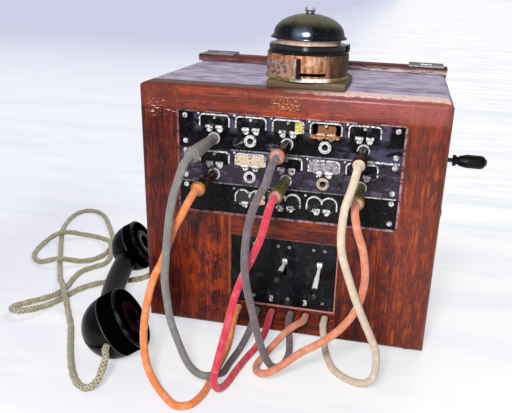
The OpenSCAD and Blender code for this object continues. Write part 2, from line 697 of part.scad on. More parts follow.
// Cheeks with the pivot, and the stacks of contact springs behind each plate
module key_springs() color("#b08d4f") for (x = key_x) {
    for (side = [-1, 1])
        translate([side > 0 ? x + lever_hub_w / 2 + cheek_gap : x - lever_hub_w / 2 - cheek_gap - cheek_t,
        panel_y + key_plate_t, lever_z - cheek_h / 2]) cube([cheek_t, pivot_back + cheek_back, cheek_h]);
    rod_x(pivot_d, x - lever_hub_w / 2 - cheek_gap - cheek_t, x + lever_hub_w / 2 + cheek_gap + cheek_t,
        pivot_y, lever_z);
    translate([x - lever_hub_w / 2 - cheek_gap - cheek_t, pivot_y + 8, lever_z - cheek_h / 2])
        cube([lever_hub_w + 2 * (cheek_gap + cheek_t), 4, cheek_h]);
    for (side = [-1, 1], k = [0:2])
        translate([x - 4, pivot_y + 12 - eps, lever_z + side * (cheek_h / 6 + spring_step * k) - 0.4])
            cube([8, spring_l, 0.8]);
}

module bush_at_front(x) difference() {
    rod_y(bush_d, x, front_y, frame_back, cord_hole_z);
    rod_y(bush_bore, x, front_y - 1, front_y + bush_depth, cord_hole_z);
    rod_y(wire_bore, x, front_y, frame_back + 1, cord_hole_z);
}

module cord_bushes() color("#2b1d18") {
    for (x = cord_hole_x) bush_at_front(x);
    difference() {
        rod_x(bush_d, -case_w / 2, -side_in, entry_y, entry_z + foot_h);
        rod_x(bush_bore, -case_w / 2 - 1, -case_w / 2 + bush_depth - 2, entry_y, entry_z + foot_h);
        rod_x(wire_bore, -case_w / 2, -side_in + 1, entry_y, entry_z + foot_h);
    }
}

// Plugs: tip in the jack, tapered sleeve, end rim and ferrule
module plug(p) translate([p[0] * jack_pitch, jack_face, jack_z(p[1])]) rotate([90, 0, 0]) {
    l = p[2];
    cylinder(d1 = sleeve_front_d, d2 = sleeve_back_d, h = l - 6);
    translate([0, 0, l - 6 - eps]) cylinder(d = sleeve_back_d + 0.8, h = 3);
    translate([0, 0, l - 3 - eps]) cylinder(d = cord_d + 3, h = 3);
    translate([0, 0, -tip_l]) cylinder(d = tip_d, h = tip_l + eps);
    translate([0, 0, -tip_l]) sphere(d = tip_d - 0.6);
}
module metal_plugs() color("#7c7a66") for (p = metal_plug) plug(p);
module brown_plugs() color("#3a1a16") for (p = brown_plug) plug(p);

// Cord tube: rings of eight points carried along the route without twist
function unit(v) = v / norm(v);
function tangent(p, i) = unit(p[min(i + 1, len(p) - 1)] - p[max(i - 1, 0)]);
function square_to(n, t) = unit(n - (n * t) * t);
function carried(p, i, n) = i >= len(p) ? [] :
    let (m = square_to(n, tangent(p, i))) concat([m], carried(p, i + 1, m));

module tube(p, sides = 8) {
    n = carried(p, 0, abs(tangent(p, 0)[2]) > 0.9 ? [1, 0, 0] : [0, 0, 1]);
    points = [for (i = [0:len(p) - 1]) let (t = tangent(p, i), b = cross(t, n[i]))
        for (k = [0:sides - 1]) p[i] + cord_d / 2 * (cos(k * 360 / sides) * n[i] + sin(k * 360 / sides) * b)];
    last = (len(p) - 1) * sides;
    faces = concat(
        [for (i = [0:len(p) - 2], k = [0:sides - 1]) let (a = i * sides + k, b = i * sides + (k + 1) % sides)
            each [[a, a + sides, b + sides], [a, b + sides, b]]],
        [[for (k = [0:sides - 1]) k], [for (k = [sides - 1:-1:0]) last + k]]);
    polyhedron(points, faces);
}

// A patch cord: straight out of its bush, along its route, and straight into its plug
module patch_cord(hole, route, p) {
    x = cord_hole_x[hole];
    plug_end = [p[0] * jack_pitch, jack_face - p[2], jack_z(p[1])];
    tube(concat([[x, front_y + bush_depth, cord_hole_z], [x, front_y - cord_d, cord_hole_z]], route,
        [plug_end - [0, cord_d / 2, 0], plug_end]));
}
module patch_cord_1() color("#e07a44") patch_cord(0, route_1, brown_plug[0]);
module patch_cord_2() color("#6d6a70") patch_cord(1, route_2, metal_plug[0]);
module patch_cord_3() color("#c8283c") patch_cord(2, route_3, metal_plug[1]);
module patch_cord_4() color("#5d5258") patch_cord(3, route_4, brown_plug[1]);
module patch_cord_5() color("#d98463") patch_cord(4, route_5, metal_plug[2]);
module patch_cord_6() color("#d9c5b0") patch_cord(5, route_6, brown_plug[2]);

module handset_cord() color("#9d9773") {
    out = cord_out();
    start = mouth_end + out * (mouth_d / 2 - 5);
    entry = [-case_w / 2 + bush_depth - 2, entry_y, entry_z + foot_h];
    tube(concat([start, mouth_end + out * (mouth_d / 2 + 4)], handset_route,
        [entry - [bush_depth + 6, 0, 0], entry]));
}

// Generator
function involute_angle(base, r) = let (a = acos(min(1, base / r))) tan(a) * 180 / PI - a;
// Half a tooth's angle at radius r, thinned a little for backlash
function half_tooth(teeth, r) = let (pitch_r = gear_m * teeth / 2, base = pitch_r * cos(20))
    90 / teeth - 0.12 / pitch_r * 180 / PI
    + involute_angle(base, pitch_r) - involute_angle(base, max(r, base));
module gear_outline(teeth) {
    root = gear_m * (teeth / 2 - 1.25);
    tip = gear_m * (teeth / 2 + 0.8);
    steps = 3;
    radii = [for (k = [0:steps]) root + (tip - root) * k / steps];
    polygon([for (i = [0:teeth - 1]) let (mid = i * 360 / teeth) each concat(
        [for (r = radii) r * [cos(mid - half_tooth(teeth, r)), sin(mid - half_tooth(teeth, r))]],
        [for (k = [steps:-1:0]) radii[k] * [cos(mid + half_tooth(teeth, radii[k])),
            sin(mid + half_tooth(teeth, radii[k]))]])]);
}

module drive_gear() color("#b5924c")
    translate([gear_x, 0, crank_z]) rotate([0, 90, 0]) difference() {
        union() {
            linear_extrude(gear_face) gear_outline(gear_teeth);
            cylinder(d = shaft_d + 8, h = gear_face + 3);
        }
        translate([0, 0, -1]) cylinder(d = shaft_d, h = gear_face + 5);
    }

module crank_arm() color("#45454a") {
    rod_x(shaft_d, frame_left - 4, arm_out, 0, crank_z);
    rod_x(arm_w + 2, arm_in, arm_out + 0.8, 0, crank_z);
    rod_x(arm_w, arm_in, arm_out, 0, crank_z + crank_throw);
    translate([arm_in, -arm_w / 2 + 1, crank_z]) cube([arm_t, arm_w - 2, crank_throw]);
    rod_x(grip_pin_d, arm_out - eps, grip_end + 0.5, 0, crank_z + crank_throw);
    rod_x(grip_pin_d + 3, grip_end + 0.3, grip_end + 1.8, 0, crank_z + crank_throw);
}

module crank_grip() color("#131214")
    translate([grip_start, 0, crank_z + crank_throw]) rotate([0, 90, 0]) difference() {
        union() {
            cylinder(d = grip_d - 3, h = 4);
            translate([0, 0, 4 - eps]) cylinder(d = grip_d - 6, h = 3);
            translate([0, 0, 7 - 2 * eps]) cylinder(d1 = grip_d - 4, d2 = grip_d, h = 8);
            translate([0, 0, 15 - 3 * eps]) cylinder(d = grip_d, h = grip_l - 19);
            translate([0, 0, grip_l - 4 - 4 * eps]) cylinder(d1 = grip_d, d2 = grip_d - 4, h = 4);
        }
        translate([0, 0, -1]) cylinder(d = grip_pin_d + 2 * run, h = grip_l + 2);
    }

// End plates, pole pieces and the crank's bearing bush in the side of the case
module generator_frame() color("#5b5650") {
    shelf_top = shelf_z + board_t - 2;
    for (x = [frame_left, frame_right - end_plate_t]) difference() {
        union() {
            translate([x, -frame_half, shelf_top])
                cube([end_plate_t, 2 * frame_half, crank_z + 16 - shelf_top]);
            translate([x == frame_left ? x - 10 : x, -frame_half, shelf_top])
                cube([end_plate_t + 10 - eps, 14, 3]);
            translate([x == frame_left ? x - 10 : x, frame_half - 14, shelf_top])
                cube([end_plate_t + 10 - eps, 14, 3]);
        }
        rod_x(shaft_d + 2 * run, x - 1, x + end_plate_t + 1, 0, crank_z);
        rod_x(armature_shaft_d + 2 * run, x - 1, x + end_plate_t + 1, 0, armature_z);
    }
    difference() {
        for (side = [-1, 1])
            translate([frame_left + end_plate_t, side < 0 ? -magnet_in : magnet_in - 9, armature_z - 11])
                cube([frame_right - frame_left - 2 * end_plate_t, 9, 22]);
        rod_x(armature_d + 1.2, frame_left, frame_right, 0, armature_z);
    }
    difference() {
        rod_x(bearing_d, side_in, case_w / 2, 0, crank_z);
        rod_x(shaft_d + 2 * run, side_in - 1, case_w / 2 + 2, 0, crank_z);
    }
}

module horseshoe() difference() {
    union() {
        circle(r = magnet_out);
        translate([-magnet_out, armature_z - 12 - crank_z])
            square([2 * magnet_out, crank_z - armature_z + 12]);
    }
    circle(r = magnet_in);
    translate([-magnet_in, armature_z - 13 - crank_z])
        square([2 * magnet_in, crank_z - armature_z + 13]);
}

module generator_magnets() color("#6e2b22")
    for (i = [0:magnet_count - 1]) translate([magnet_x + i * (magnet_w + magnet_gap), 0, crank_z])
        rotate([90, 0, 90]) linear_extrude(magnet_w) horseshoe();

module armature() color("#8a857c") {
    x0 = frame_left + end_plate_t + 2;
    x1 = frame_right - end_plate_t - 2;
    rod_x(armature_shaft_d, frame_left - 1, gear_x + gear_face + 2, 0, armature_z);
    difference() {
        rod_x(armature_d, x0, x1, 0, armature_z);
        for (side = [0, 1]) translate([x0 + 6, -6, side ? armature_z + 5 : armature_z - armature_d / 2 - 1])
            cube([x1 - x0 - 12, 12, armature_d / 2 - 4]);
    }
    translate([gear_x, 0, armature_z]) rotate([0, 90, 0]) rotate(180 / pinion_teeth)
        linear_extrude(gear_face) gear_outline(pinion_teeth);
}

// Bell
module bell_base() color("#8c7a45") translate([bell_c[0], bell_c[1], 0]) {
    translate([-bell_base_w / 2 + bell_base_shift, -bell_base_d / 2, top_z])
        cube([bell_base_w, bell_base_d, bell_base_t]);
    translate([0, 0, base_top - eps]) cylinder(d = boss_d, h = lever_arm_z + lever_arm_t - base_top + 1);
    translate([0, 0, base_top]) cylinder(d = post_d, h = gong_top + 3 - base_top);
    translate([0, 0, gong_top - gong_t - 6]) cylinder(d = 12, h = 6);
}

module bell_drum() color("#b87a33") translate([bell_c[0], bell_c[1], 0]) difference() {
    translate([0, 0, base_top]) cylinder(d = drum_d, h = drum_h, $fn = 96);
    translate([0, 0, base_top - 1]) cylinder(d = drum_d - 2 * drum_wall, h = drum_h + 2, $fn = 96);
    translate([0, 0, lever_arm_z - 0.5]) rotate(cut_out_rest - 90 - 6)
        rotate_extrude(angle = cut_out_travel + 12) translate([drum_d / 2 - 4, 0])
            square([8, lever_arm_t + 1]);
}

module bell_collar() color("#1c1a1c") translate([bell_c[0], bell_c[1], 0]) {
    difference() {
        union() {
            translate([0, 0, drum_top]) cylinder(d = collar_d, h = collar_h, $fn = 96);
            translate([0, 0, collar_top - eps]) cylinder(r = band_r, h = 5 - gap, $fn = 96);
        }
        translate([0, 0, drum_top - 1]) cylinder(r = band_r - 3, h = collar_h + 8, $fn = 96);
    }
    translate([collar_d / 2 - 1, -3, drum_top + 2]) cube([3, 6, 8]);
}

// Outline of the gong: a flared lip, then a quarter ellipse up to the crown
module gong_outline(inset) {
    n = 14;
    lip = gong_d / 2;
    side = lip - 3;
    foot = [[0, gong_z], [lip - inset, gong_z], [lip - inset, gong_z + 1.2],
        [side + 0.8 - inset, gong_z + 3]];
    polygon(concat(foot, [for (k = [0:n])
        [(side - inset) * cos(k * 90 / n), gong_z + 4 + (gong_h - 4 - inset) * sin(k * 90 / n)]]));
}

module bell_gong() color("#4b4d50") translate([bell_c[0], bell_c[1], 0]) rotate_extrude($fn = 96)
    difference() {
        gong_outline(0);
        translate([0, -eps]) gong_outline(gong_t);
        translate([0, gong_top - 8]) square([post_d / 2 + run, 10]);
    }

module wing_nut() color("#3d3b38") translate([bell_c[0], bell_c[1], gong_top]) {
    difference() {
        union() {
            cylinder(d = 9, h = 3);
            for (side = [-1, 1]) rotate(side > 0 ? 0 : 180) translate([2.4, 0, 2]) rotate([90, 0, 0])
                translate([0, 0, -0.8]) linear_extrude(1.6)
                    polygon([[0, 0], [2, 0], [3, 3], [1.2, 3.8], [0.4, 1.6]]);
        }
        translate([0, 0, -1]) cylinder(d = post_d + 2 * run, h = 8);
    }
}

// Two coils on their iron bridge, with the ears that carry the clapper
module bell_coils() color("#7d3a22") translate([bell_c[0], bell_c[1], 0]) {
    translate([-24, bell_coil_y - 9, base_top]) cube([48, 16, 2.5]);
    for (side = [-1, 1]) translate([side * bell_coil_x, bell_coil_y, base_top + 2.5]) {
        cylinder(d = bell_coil_d, h = bell_coil_h);
        cylinder(d = 7, h = bell_coil_h + 1.2);
    }
    for (side = [-1, 1]) difference() {
        translate([side > 0 ? 2.6 : -4.1, bell_coil_y + 5, base_top + 2.5 - eps])
            cube([1.5, 3, clapper_axis_z - base_top]);
        rod_x(clapper_pin_d, -6, 6, bell_coil_y + 6.5, clapper_axis_z);
    }
    rod_x(clapper_pin_d, -4.1, 4.1, bell_coil_y + 6.5, clapper_axis_z);
}

// Armature tongue, rod and ball that strikes the inside of the gong
module bell_clapper() color("#c2b07a") translate([bell_c[0], bell_c[1] + bell_coil_y + 6.5, clapper_axis_z]) {
    difference() {
        union() {
            rod_x(clapper_pin_d + 2, -2.2, 2.2, 0, 0);
            translate([-2.2, -11, 0.6]) cube([4.4, 11, 1.2]);
            cylinder(d = 2, h = gong_z + 7 - clapper_axis_z);
        }
        rod_x(clapper_pin_d + 2 * run, -5, 5, 0, 0);
    }
    translate([0, 0, gong_z + 7 - clapper_axis_z]) sphere(d = 6);
}

module cut_out_lever() color("#3a1217") translate([bell_c[0], bell_c[1], lever_arm_z]) rotate(cut_out_rest) {
    difference() {
        union() {
            cylinder(d = boss_d + 6, h = lever_arm_t);
            translate([-2, -lever_r, 0]) cube([4, lever_r - boss_d / 2, lever_arm_t]);
        }
        translate([0, 0, -1]) cylinder(d = boss_d + 2 * run, h = lever_arm_t + 2);
    }
    translate([0, -lever_r, -2]) cylinder(d = cut_out_d, h = drum_h - 6);
    translate([0, -lever_r, -2]) cylinder(d = cut_out_d + 2, h = 2.5);
}

// Handset, in its own frame: mouthpiece end at -X, earpiece end at +X, caps towards -Y
module at_handset() translate(handset_mid) rotate([-handset_tilt, handset_dip, handset_turn]) children();
module at_mouth() translate([-handset_l / 2, 0, 0]) rotate([90, 0, mouth_tilt]) children();
module at_ear() translate([handset_l / 2, 0, 0]) rotate([90, 0, ear_tilt]) children();

// Bowed handle: an arc through both ends, its back towards +Y
handle_reach = handset_l - 34;
handle_arc_r = pow(handle_reach, 2) / 8 / handle_bow + handle_bow / 2;
handle_angle = 2 * asin(handle_reach / 2 / handle_arc_r);
module handle_bar() translate([0, handle_back + handle_bow - handle_arc_r, 0])
    rotate(90 - handle_angle / 2) rotate_extrude(angle = handle_angle, $fn = 120)
        translate([handle_arc_r, 0]) circle(d = handle_d);

module cup(d) difference() {
    sphere(d = d);
    translate([-d, -d, 0]) cube([2 * d, 2 * d, d]);
}

module handset_body() color("#121113") difference() {
    at_handset() difference() {
        union() {
            at_mouth() cup(mouth_d);
            at_ear() cup(ear_d);
            handle_bar();
        }
        at_mouth() translate([0, 0, -cavity_deep]) cylinder(d = mouth_d - 4 * cup_wall, h = 40);
        at_ear() translate([0, 0, -cavity_deep]) cylinder(d = ear_d - 4 * cup_wall, h = 40);
        at_mouth() cylinder(d = mouth_d + 0.8, h = mouth_cap_h + 4);
        at_ear() cylinder(d = ear_d + 0.8, h = ear_cap_h + 4);
    }
    recess_at_cord();
}

// Hole in the mouthpiece end that the cord enters
function cord_out() = (handset_exit - mouth_end) / norm(handset_exit - mouth_end);
module recess_at_cord() {
    dir = cord_out();
    translate(mouth_end + (mouth_d / 2 - 5) * dir) rotate([0, acos(dir[2]), atan2(dir[1], dir[0])])
        cylinder(d = cord_d + 0.8, h = 20);
}

module cap(d, h) difference() {
    rotate_extrude() difference() {
        union() {
            square([d / 2 - 2, h]);
            square([d / 2, h - 2]);
            translate([d / 2 - 2, h - 2]) circle(r = 2);
        }
        translate([0, -1]) square([d / 2 - cup_wall, h - 2.5]);
        translate([0, h - 1.2]) square([d / 2 - 5, 3]);
    }
    for (k = [0:5]) rotate(k * 60) translate([8, 0, 0]) cylinder(d = 3, h = h + 1);
    cylinder(d = 3, h = h + 1);
}

module mouth_cap() color("#17161a") at_handset() at_mouth() translate([0, 0, 0.1]) cap(mouth_d, mouth_cap_h);
module ear_cap() color("#17161a") at_handset() at_ear() translate([0, 0, 0.1]) cap(ear_d, ear_cap_h);

module handset_capsules() color("#6a655c") at_handset() {
    at_mouth() translate([0, 0, -cavity_deep]) cylinder(d = mouth_d - 4 * cup_wall - 0.4, h = capsule_h);
    at_ear() translate([0, 0, -cavity_deep]) cylinder(d = ear_d - 4 * cup_wall - 0.4, h = capsule_h);
}

module terminal_block() color("#2c2522") {
    floor_z = foot_h + board_t;
    translate([-side_in + 25, 20, floor_z]) cube([terminal_l, terminal_w, terminal_h]);
    for (i = [0:5])
        translate([-side_in + 25 + (i + 0.5) * terminal_l / 6, 20 + terminal_w / 2, floor_z + terminal_h]) {
        cylinder(d = 7, h = 3);
        cylinder(d = 4, h = 8);
    }
}

front_frame();
top_board();
case_carcass();
rear_batten();
rear_door();
hinge_case_leaves();
hinge_door_leaves();
feet();
panel_strips();
panel_screws();
drop_frames();
drop_magnets();
line_shutter_1();
line_shutter_2();
line_shutter_3();
line_shutter_4();
line_shutter_5();
line_shutter_6();
line_shutter_7();
line_shutter_8();
line_shutter_9();
line_shutter_10();
clearing_shutter_1();
clearing_shutter_2();
clearing_shutter_3();
line_jacks();
key_plates();
key_lever_1();
key_lever_2();
key_lever_3();
key_springs();
cord_bushes();
metal_plugs();
brown_plugs();
patch_cord_1();
patch_cord_2();
patch_cord_3();
patch_cord_4();
patch_cord_5();
patch_cord_6();
crank_arm();
crank_grip();
generator_frame();
generator_magnets();
drive_gear();
armature();
bell_base();
bell_drum();
bell_collar();
bell_gong();
wing_nut();
bell_coils();
bell_clapper();
cut_out_lever();
handset_body();
ear_cap();
mouth_cap();
handset_capsules();
handset_cord();
terminal_block();
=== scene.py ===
import math

import bpy
from mathutils import Euler, Matrix, Quaternion, Vector


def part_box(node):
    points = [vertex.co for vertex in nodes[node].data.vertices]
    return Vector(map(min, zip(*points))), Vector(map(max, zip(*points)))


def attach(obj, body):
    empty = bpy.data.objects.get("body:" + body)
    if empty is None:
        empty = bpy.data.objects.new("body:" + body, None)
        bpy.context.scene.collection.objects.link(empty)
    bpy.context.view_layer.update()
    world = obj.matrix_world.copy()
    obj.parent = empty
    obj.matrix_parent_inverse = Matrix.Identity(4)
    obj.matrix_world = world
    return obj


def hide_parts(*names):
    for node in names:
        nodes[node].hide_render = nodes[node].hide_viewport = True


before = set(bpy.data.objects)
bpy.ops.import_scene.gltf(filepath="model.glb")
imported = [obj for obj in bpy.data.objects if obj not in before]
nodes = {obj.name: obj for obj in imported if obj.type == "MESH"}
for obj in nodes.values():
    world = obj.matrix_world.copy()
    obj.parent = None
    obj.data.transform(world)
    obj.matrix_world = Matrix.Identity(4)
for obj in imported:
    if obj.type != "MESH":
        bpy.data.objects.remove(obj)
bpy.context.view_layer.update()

# Every size below is in millimetres until it reaches Blender
MM = 0.001
UP = Vector((0, 0, 1))
FORWARD = Vector((0, -1, 0))
RIGHT = Vector((1, 0, 0))


def low(node):
    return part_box(node)[0] / MM


def high(node):
    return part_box(node)[1] / MM


def middle(node):
    return (low(node) + high(node)) / 2


# Places read from the solids
FRONT = low("front_frame").y
CASE_HALF = high("front_frame").x
CASE_TOP = high("front_frame").z
STRIP_FACE = low("panel_strips").y
FIELD_TOP = high("panel_strips").z
FIELD_BOTTOM = low("panel_strips").z
JACK_FACE = low("line_jacks").y
KEY_HALF = high("key_plates").x
KEY_TOP = high("key_plates").z
KEY_BOTTOM = low("key_plates").z
BELL = Vector((middle("bell_gong").x, middle("bell_gong").y, 0))

# Places inside the solids, typed again from the part's source
JACK_PITCH = 38.1
JACK_ROWS = (224.0, 186.0)
JACK_COLUMNS = [JACK_PITCH * i for i in range(-2, 3)]
UPPER_JOINT = 212.5
LOWER_JOINT = 175.5
FIELD_HALF = 114.5
STRIP_SCREW_X = 108
STRIP_SCREW_ROWS = (245, 218.5, 208, 181.5, 171, 149.5)
WINDOW_FEET = (235.5, 197.2, 156.5)
KEY_COLUMNS = (-38.5, 0, 38.5)
CUT_OUT_X = 5.0
ARM_OUT = 164.5
CRANK_Z = 130
CORD_D = 7.4
HOLE_Z = 30.6
HOLES = (-48.8, -27.4, -10.7, 10.7, 27.4, 48.8)
BUSH_DEPTH = 10
SLEEVE_FRONT_R = 5.0
SLEEVE_BACK_R = 7.0
TIP_R = 3.17
TIP_L = 28.0
MOUTH_END = Vector((-161, -183.5, 34.2))
HANDSET_EXIT = Vector((-155, -215, 30.5))
HANDSET_L = 206
HANDSET_TURN = (-30, math.degrees(math.asin(2 / HANDSET_L)), 108.5)
MOUTH_TILT = -2
EAR_TILT = -6
CORD_ENTRY = Vector((-CASE_HALF + BUSH_DEPTH - 2, 30, 24))

# The camera stands where the photograph was taken from
CAMERA_PLACE = Vector((110.1, -691.7, 376.1))
CAMERA_YAW, CAMERA_PITCH, CAMERA_ROLL = -10.77, 20.79, -2.15


def camera_turn(yaw, pitch, roll):
    yaw, pitch, roll = (math.radians(a) for a in (yaw, pitch, roll))
    look = Vector((math.sin(yaw) * math.cos(pitch), math.cos(yaw) * math.cos(pitch), -math.sin(pitch)))
    right = look.cross(UP).normalized()
    down = look.cross(right)
    right, down = (math.cos(roll) * right + math.sin(roll) * down,
                   math.cos(roll) * down - math.sin(roll) * right)
    return Matrix((right, -down, -look)).transposed().to_4x4()


camera_data = bpy.data.cameras.new("photo_camera")
camera = bpy.data.objects.new("photo_camera", camera_data)
bpy.context.scene.collection.objects.link(camera)
camera.matrix_world = (Matrix.Translation(CAMERA_PLACE * MM)
                       @ camera_turn(CAMERA_YAW, CAMERA_PITCH, CAMERA_ROLL))
camera_data.sensor_width = 36
camera_data.lens = 42.8
camera_data.shift_x = -0.0545
camera_data.shift_y = 0.0119
camera_data.clip_start = 0.02
camera_data.clip_end = 20
bpy.context.scene.camera = camera


# Shader values that are worked with in plain arithmetic
class Wire:
    def __init__(self, tree, socket):
        self.tree = tree
        self.socket = socket

    def join(self, operation, *values):
        return add_node(self.tree, "ShaderNodeMath", {"operation": operation}, dict(enumerate(values)))

    def __add__(self, other):
        return self.join("ADD", self, other)

    def __radd__(self, other):
        return self.join("ADD", other, self)

    def __sub__(self, other):
        return self.join("SUBTRACT", self, other)

    def __rsub__(self, other):
        return self.join("SUBTRACT", other, self)

    def __mul__(self, other):
        return self.join("MULTIPLY", self, other)

    def __truediv__(self, other):
        return self.join("DIVIDE", self, other)

    def __abs__(self):
        return self.join("ABSOLUTE", self)

    def larger(self, other):
        return self.join("MAXIMUM", self, other)

    def folded(self, length):
        """Runs from 0 up to a length and back again."""
        return self.join("PINGPONG", self, length)


def add_node(tree, kind, settings=None, inputs=None, output=0):
    """Adds a shader node and gives one of its outputs."""
    node = tree.nodes.new(kind)
    for key, value in (settings or {}).items():
        setattr(node, key, value)
    for key, value in (inputs or {}).items():
        if isinstance(value, Wire):
            tree.links.new(value.socket, node.inputs[key])
        else:
            node.inputs[key].default_value = value
    return Wire(tree, node.outputs[output])


def tint(text):
    """The linear colour of a screen colour such as "#7a2e1c"."""
    values = [int(text[i:i + 2], 16) / 255 for i in (1, 3, 5)]
    return [v / 12.92 if v <= 0.04045 else ((v + 0.055) / 1.055) ** 2.4 for v in values] + [1]


LOOKS = {}


class Finish:
    """One procedural material on a Principled shader, kept in LOOKS under its own name."""

    def __init__(self, name, **constants):
        self.material = LOOKS[name] = bpy.data.materials.new(name)
        self.material.use_nodes = True
        self.tree = self.material.node_tree
        self.surface = self.tree.nodes["Principled BSDF"]
        self.paint(**constants)

    def node(self, kind, settings=None, inputs=None, output=0):
        return add_node(self.tree, kind, settings, inputs, output)

    def place(self, sizes, shift=0):
        """The piece's own coordinates in steps of so many millimetres along each axis."""
        return self.node("ShaderNodeMapping", None, {
            "Vector": self.node("ShaderNodeTexCoord", None, None, "Object"),
            "Location": (shift, shift * 1.7, shift * 2.3),
            "Scale": tuple(1 / (s * MM) for s in sizes)})

    def axis(self, letter):
        return self.node("ShaderNodeSeparateXYZ", None, {"Vector": self.place((1, 1, 1))}, letter)

    def noise(self, size, detail=4, roughness=0.55, shift=0, distortion=0):
        """Cloudy value from 0 to 1; size is one number, or one for each axis."""
        sizes = size if hasattr(size, "__len__") else (size, size, size)
        return self.node("ShaderNodeTexNoise", None, {
            "Vector": self.place(sizes, shift), "Scale": 1, "Detail": detail, "Roughness": roughness,
            "Distortion": distortion})

    def fade(self, value, start, end):
        """0 below start and 1 above end."""
        return self.node("ShaderNodeMapRange", {"interpolation_type": "SMOOTHSTEP"}, {
            "Value": value, "From Min": start, "From Max": end})

    def spots(self, start, end, *cloud):
        """The parts of a cloud that lie past start, full from end on."""
        return self.fade(self.noise(*cloud), start, end)

    def area(self, left, right, bottom, top, soft):
        """1 inside an upright rectangle given by X and Z, 0 outside it."""
        across, up = self.axis("X"), self.axis("Z")
        return (self.fade(across, left - soft, left + soft) * self.fade(across, right + soft, right - soft)
                * self.fade(up, bottom - soft, bottom + soft) * self.fade(up, top + soft, top - soft))

    def ramp(self, value, *stops):
        colours = self.node("ShaderNodeValToRGB", None, {"Fac": value})
        elements = colours.socket.node.color_ramp.elements
        while len(elements) < len(stops):
            elements.new(0.5)
        for element, (position, colour) in zip(elements, stops):
            element.position = position
            element.color = tint(colour)
        return colours

    def mix(self, factor, first, second):
        first, second = (tint(c) if isinstance(c, str) else c for c in (first, second))
        return self.node("ShaderNodeMix", {"data_type": "RGBA"}, {0: factor, 6: first, 7: second}, 2)

    def coats(self, colour, *over):
        """Lays coats over a colour; each is a mask and its own colour."""
        for mask, coat in over:
            colour = self.mix(mask, colour, coat)
        return colour

    def bump(self, height, depth, strength=1):
        return self.node("ShaderNodeBump", None, {
            "Height": height, "Distance": depth * MM, "Strength": strength})

    def paint(self, **values):
        """Sets sockets of the shader, named with a low line for each space."""
        for key, value in values.items():
            slot = self.surface.inputs[key.replace("_", " ")]
            if isinstance(value, Wire):
                self.tree.links.new(value.socket, slot)
            else:
                slot.default_value = value


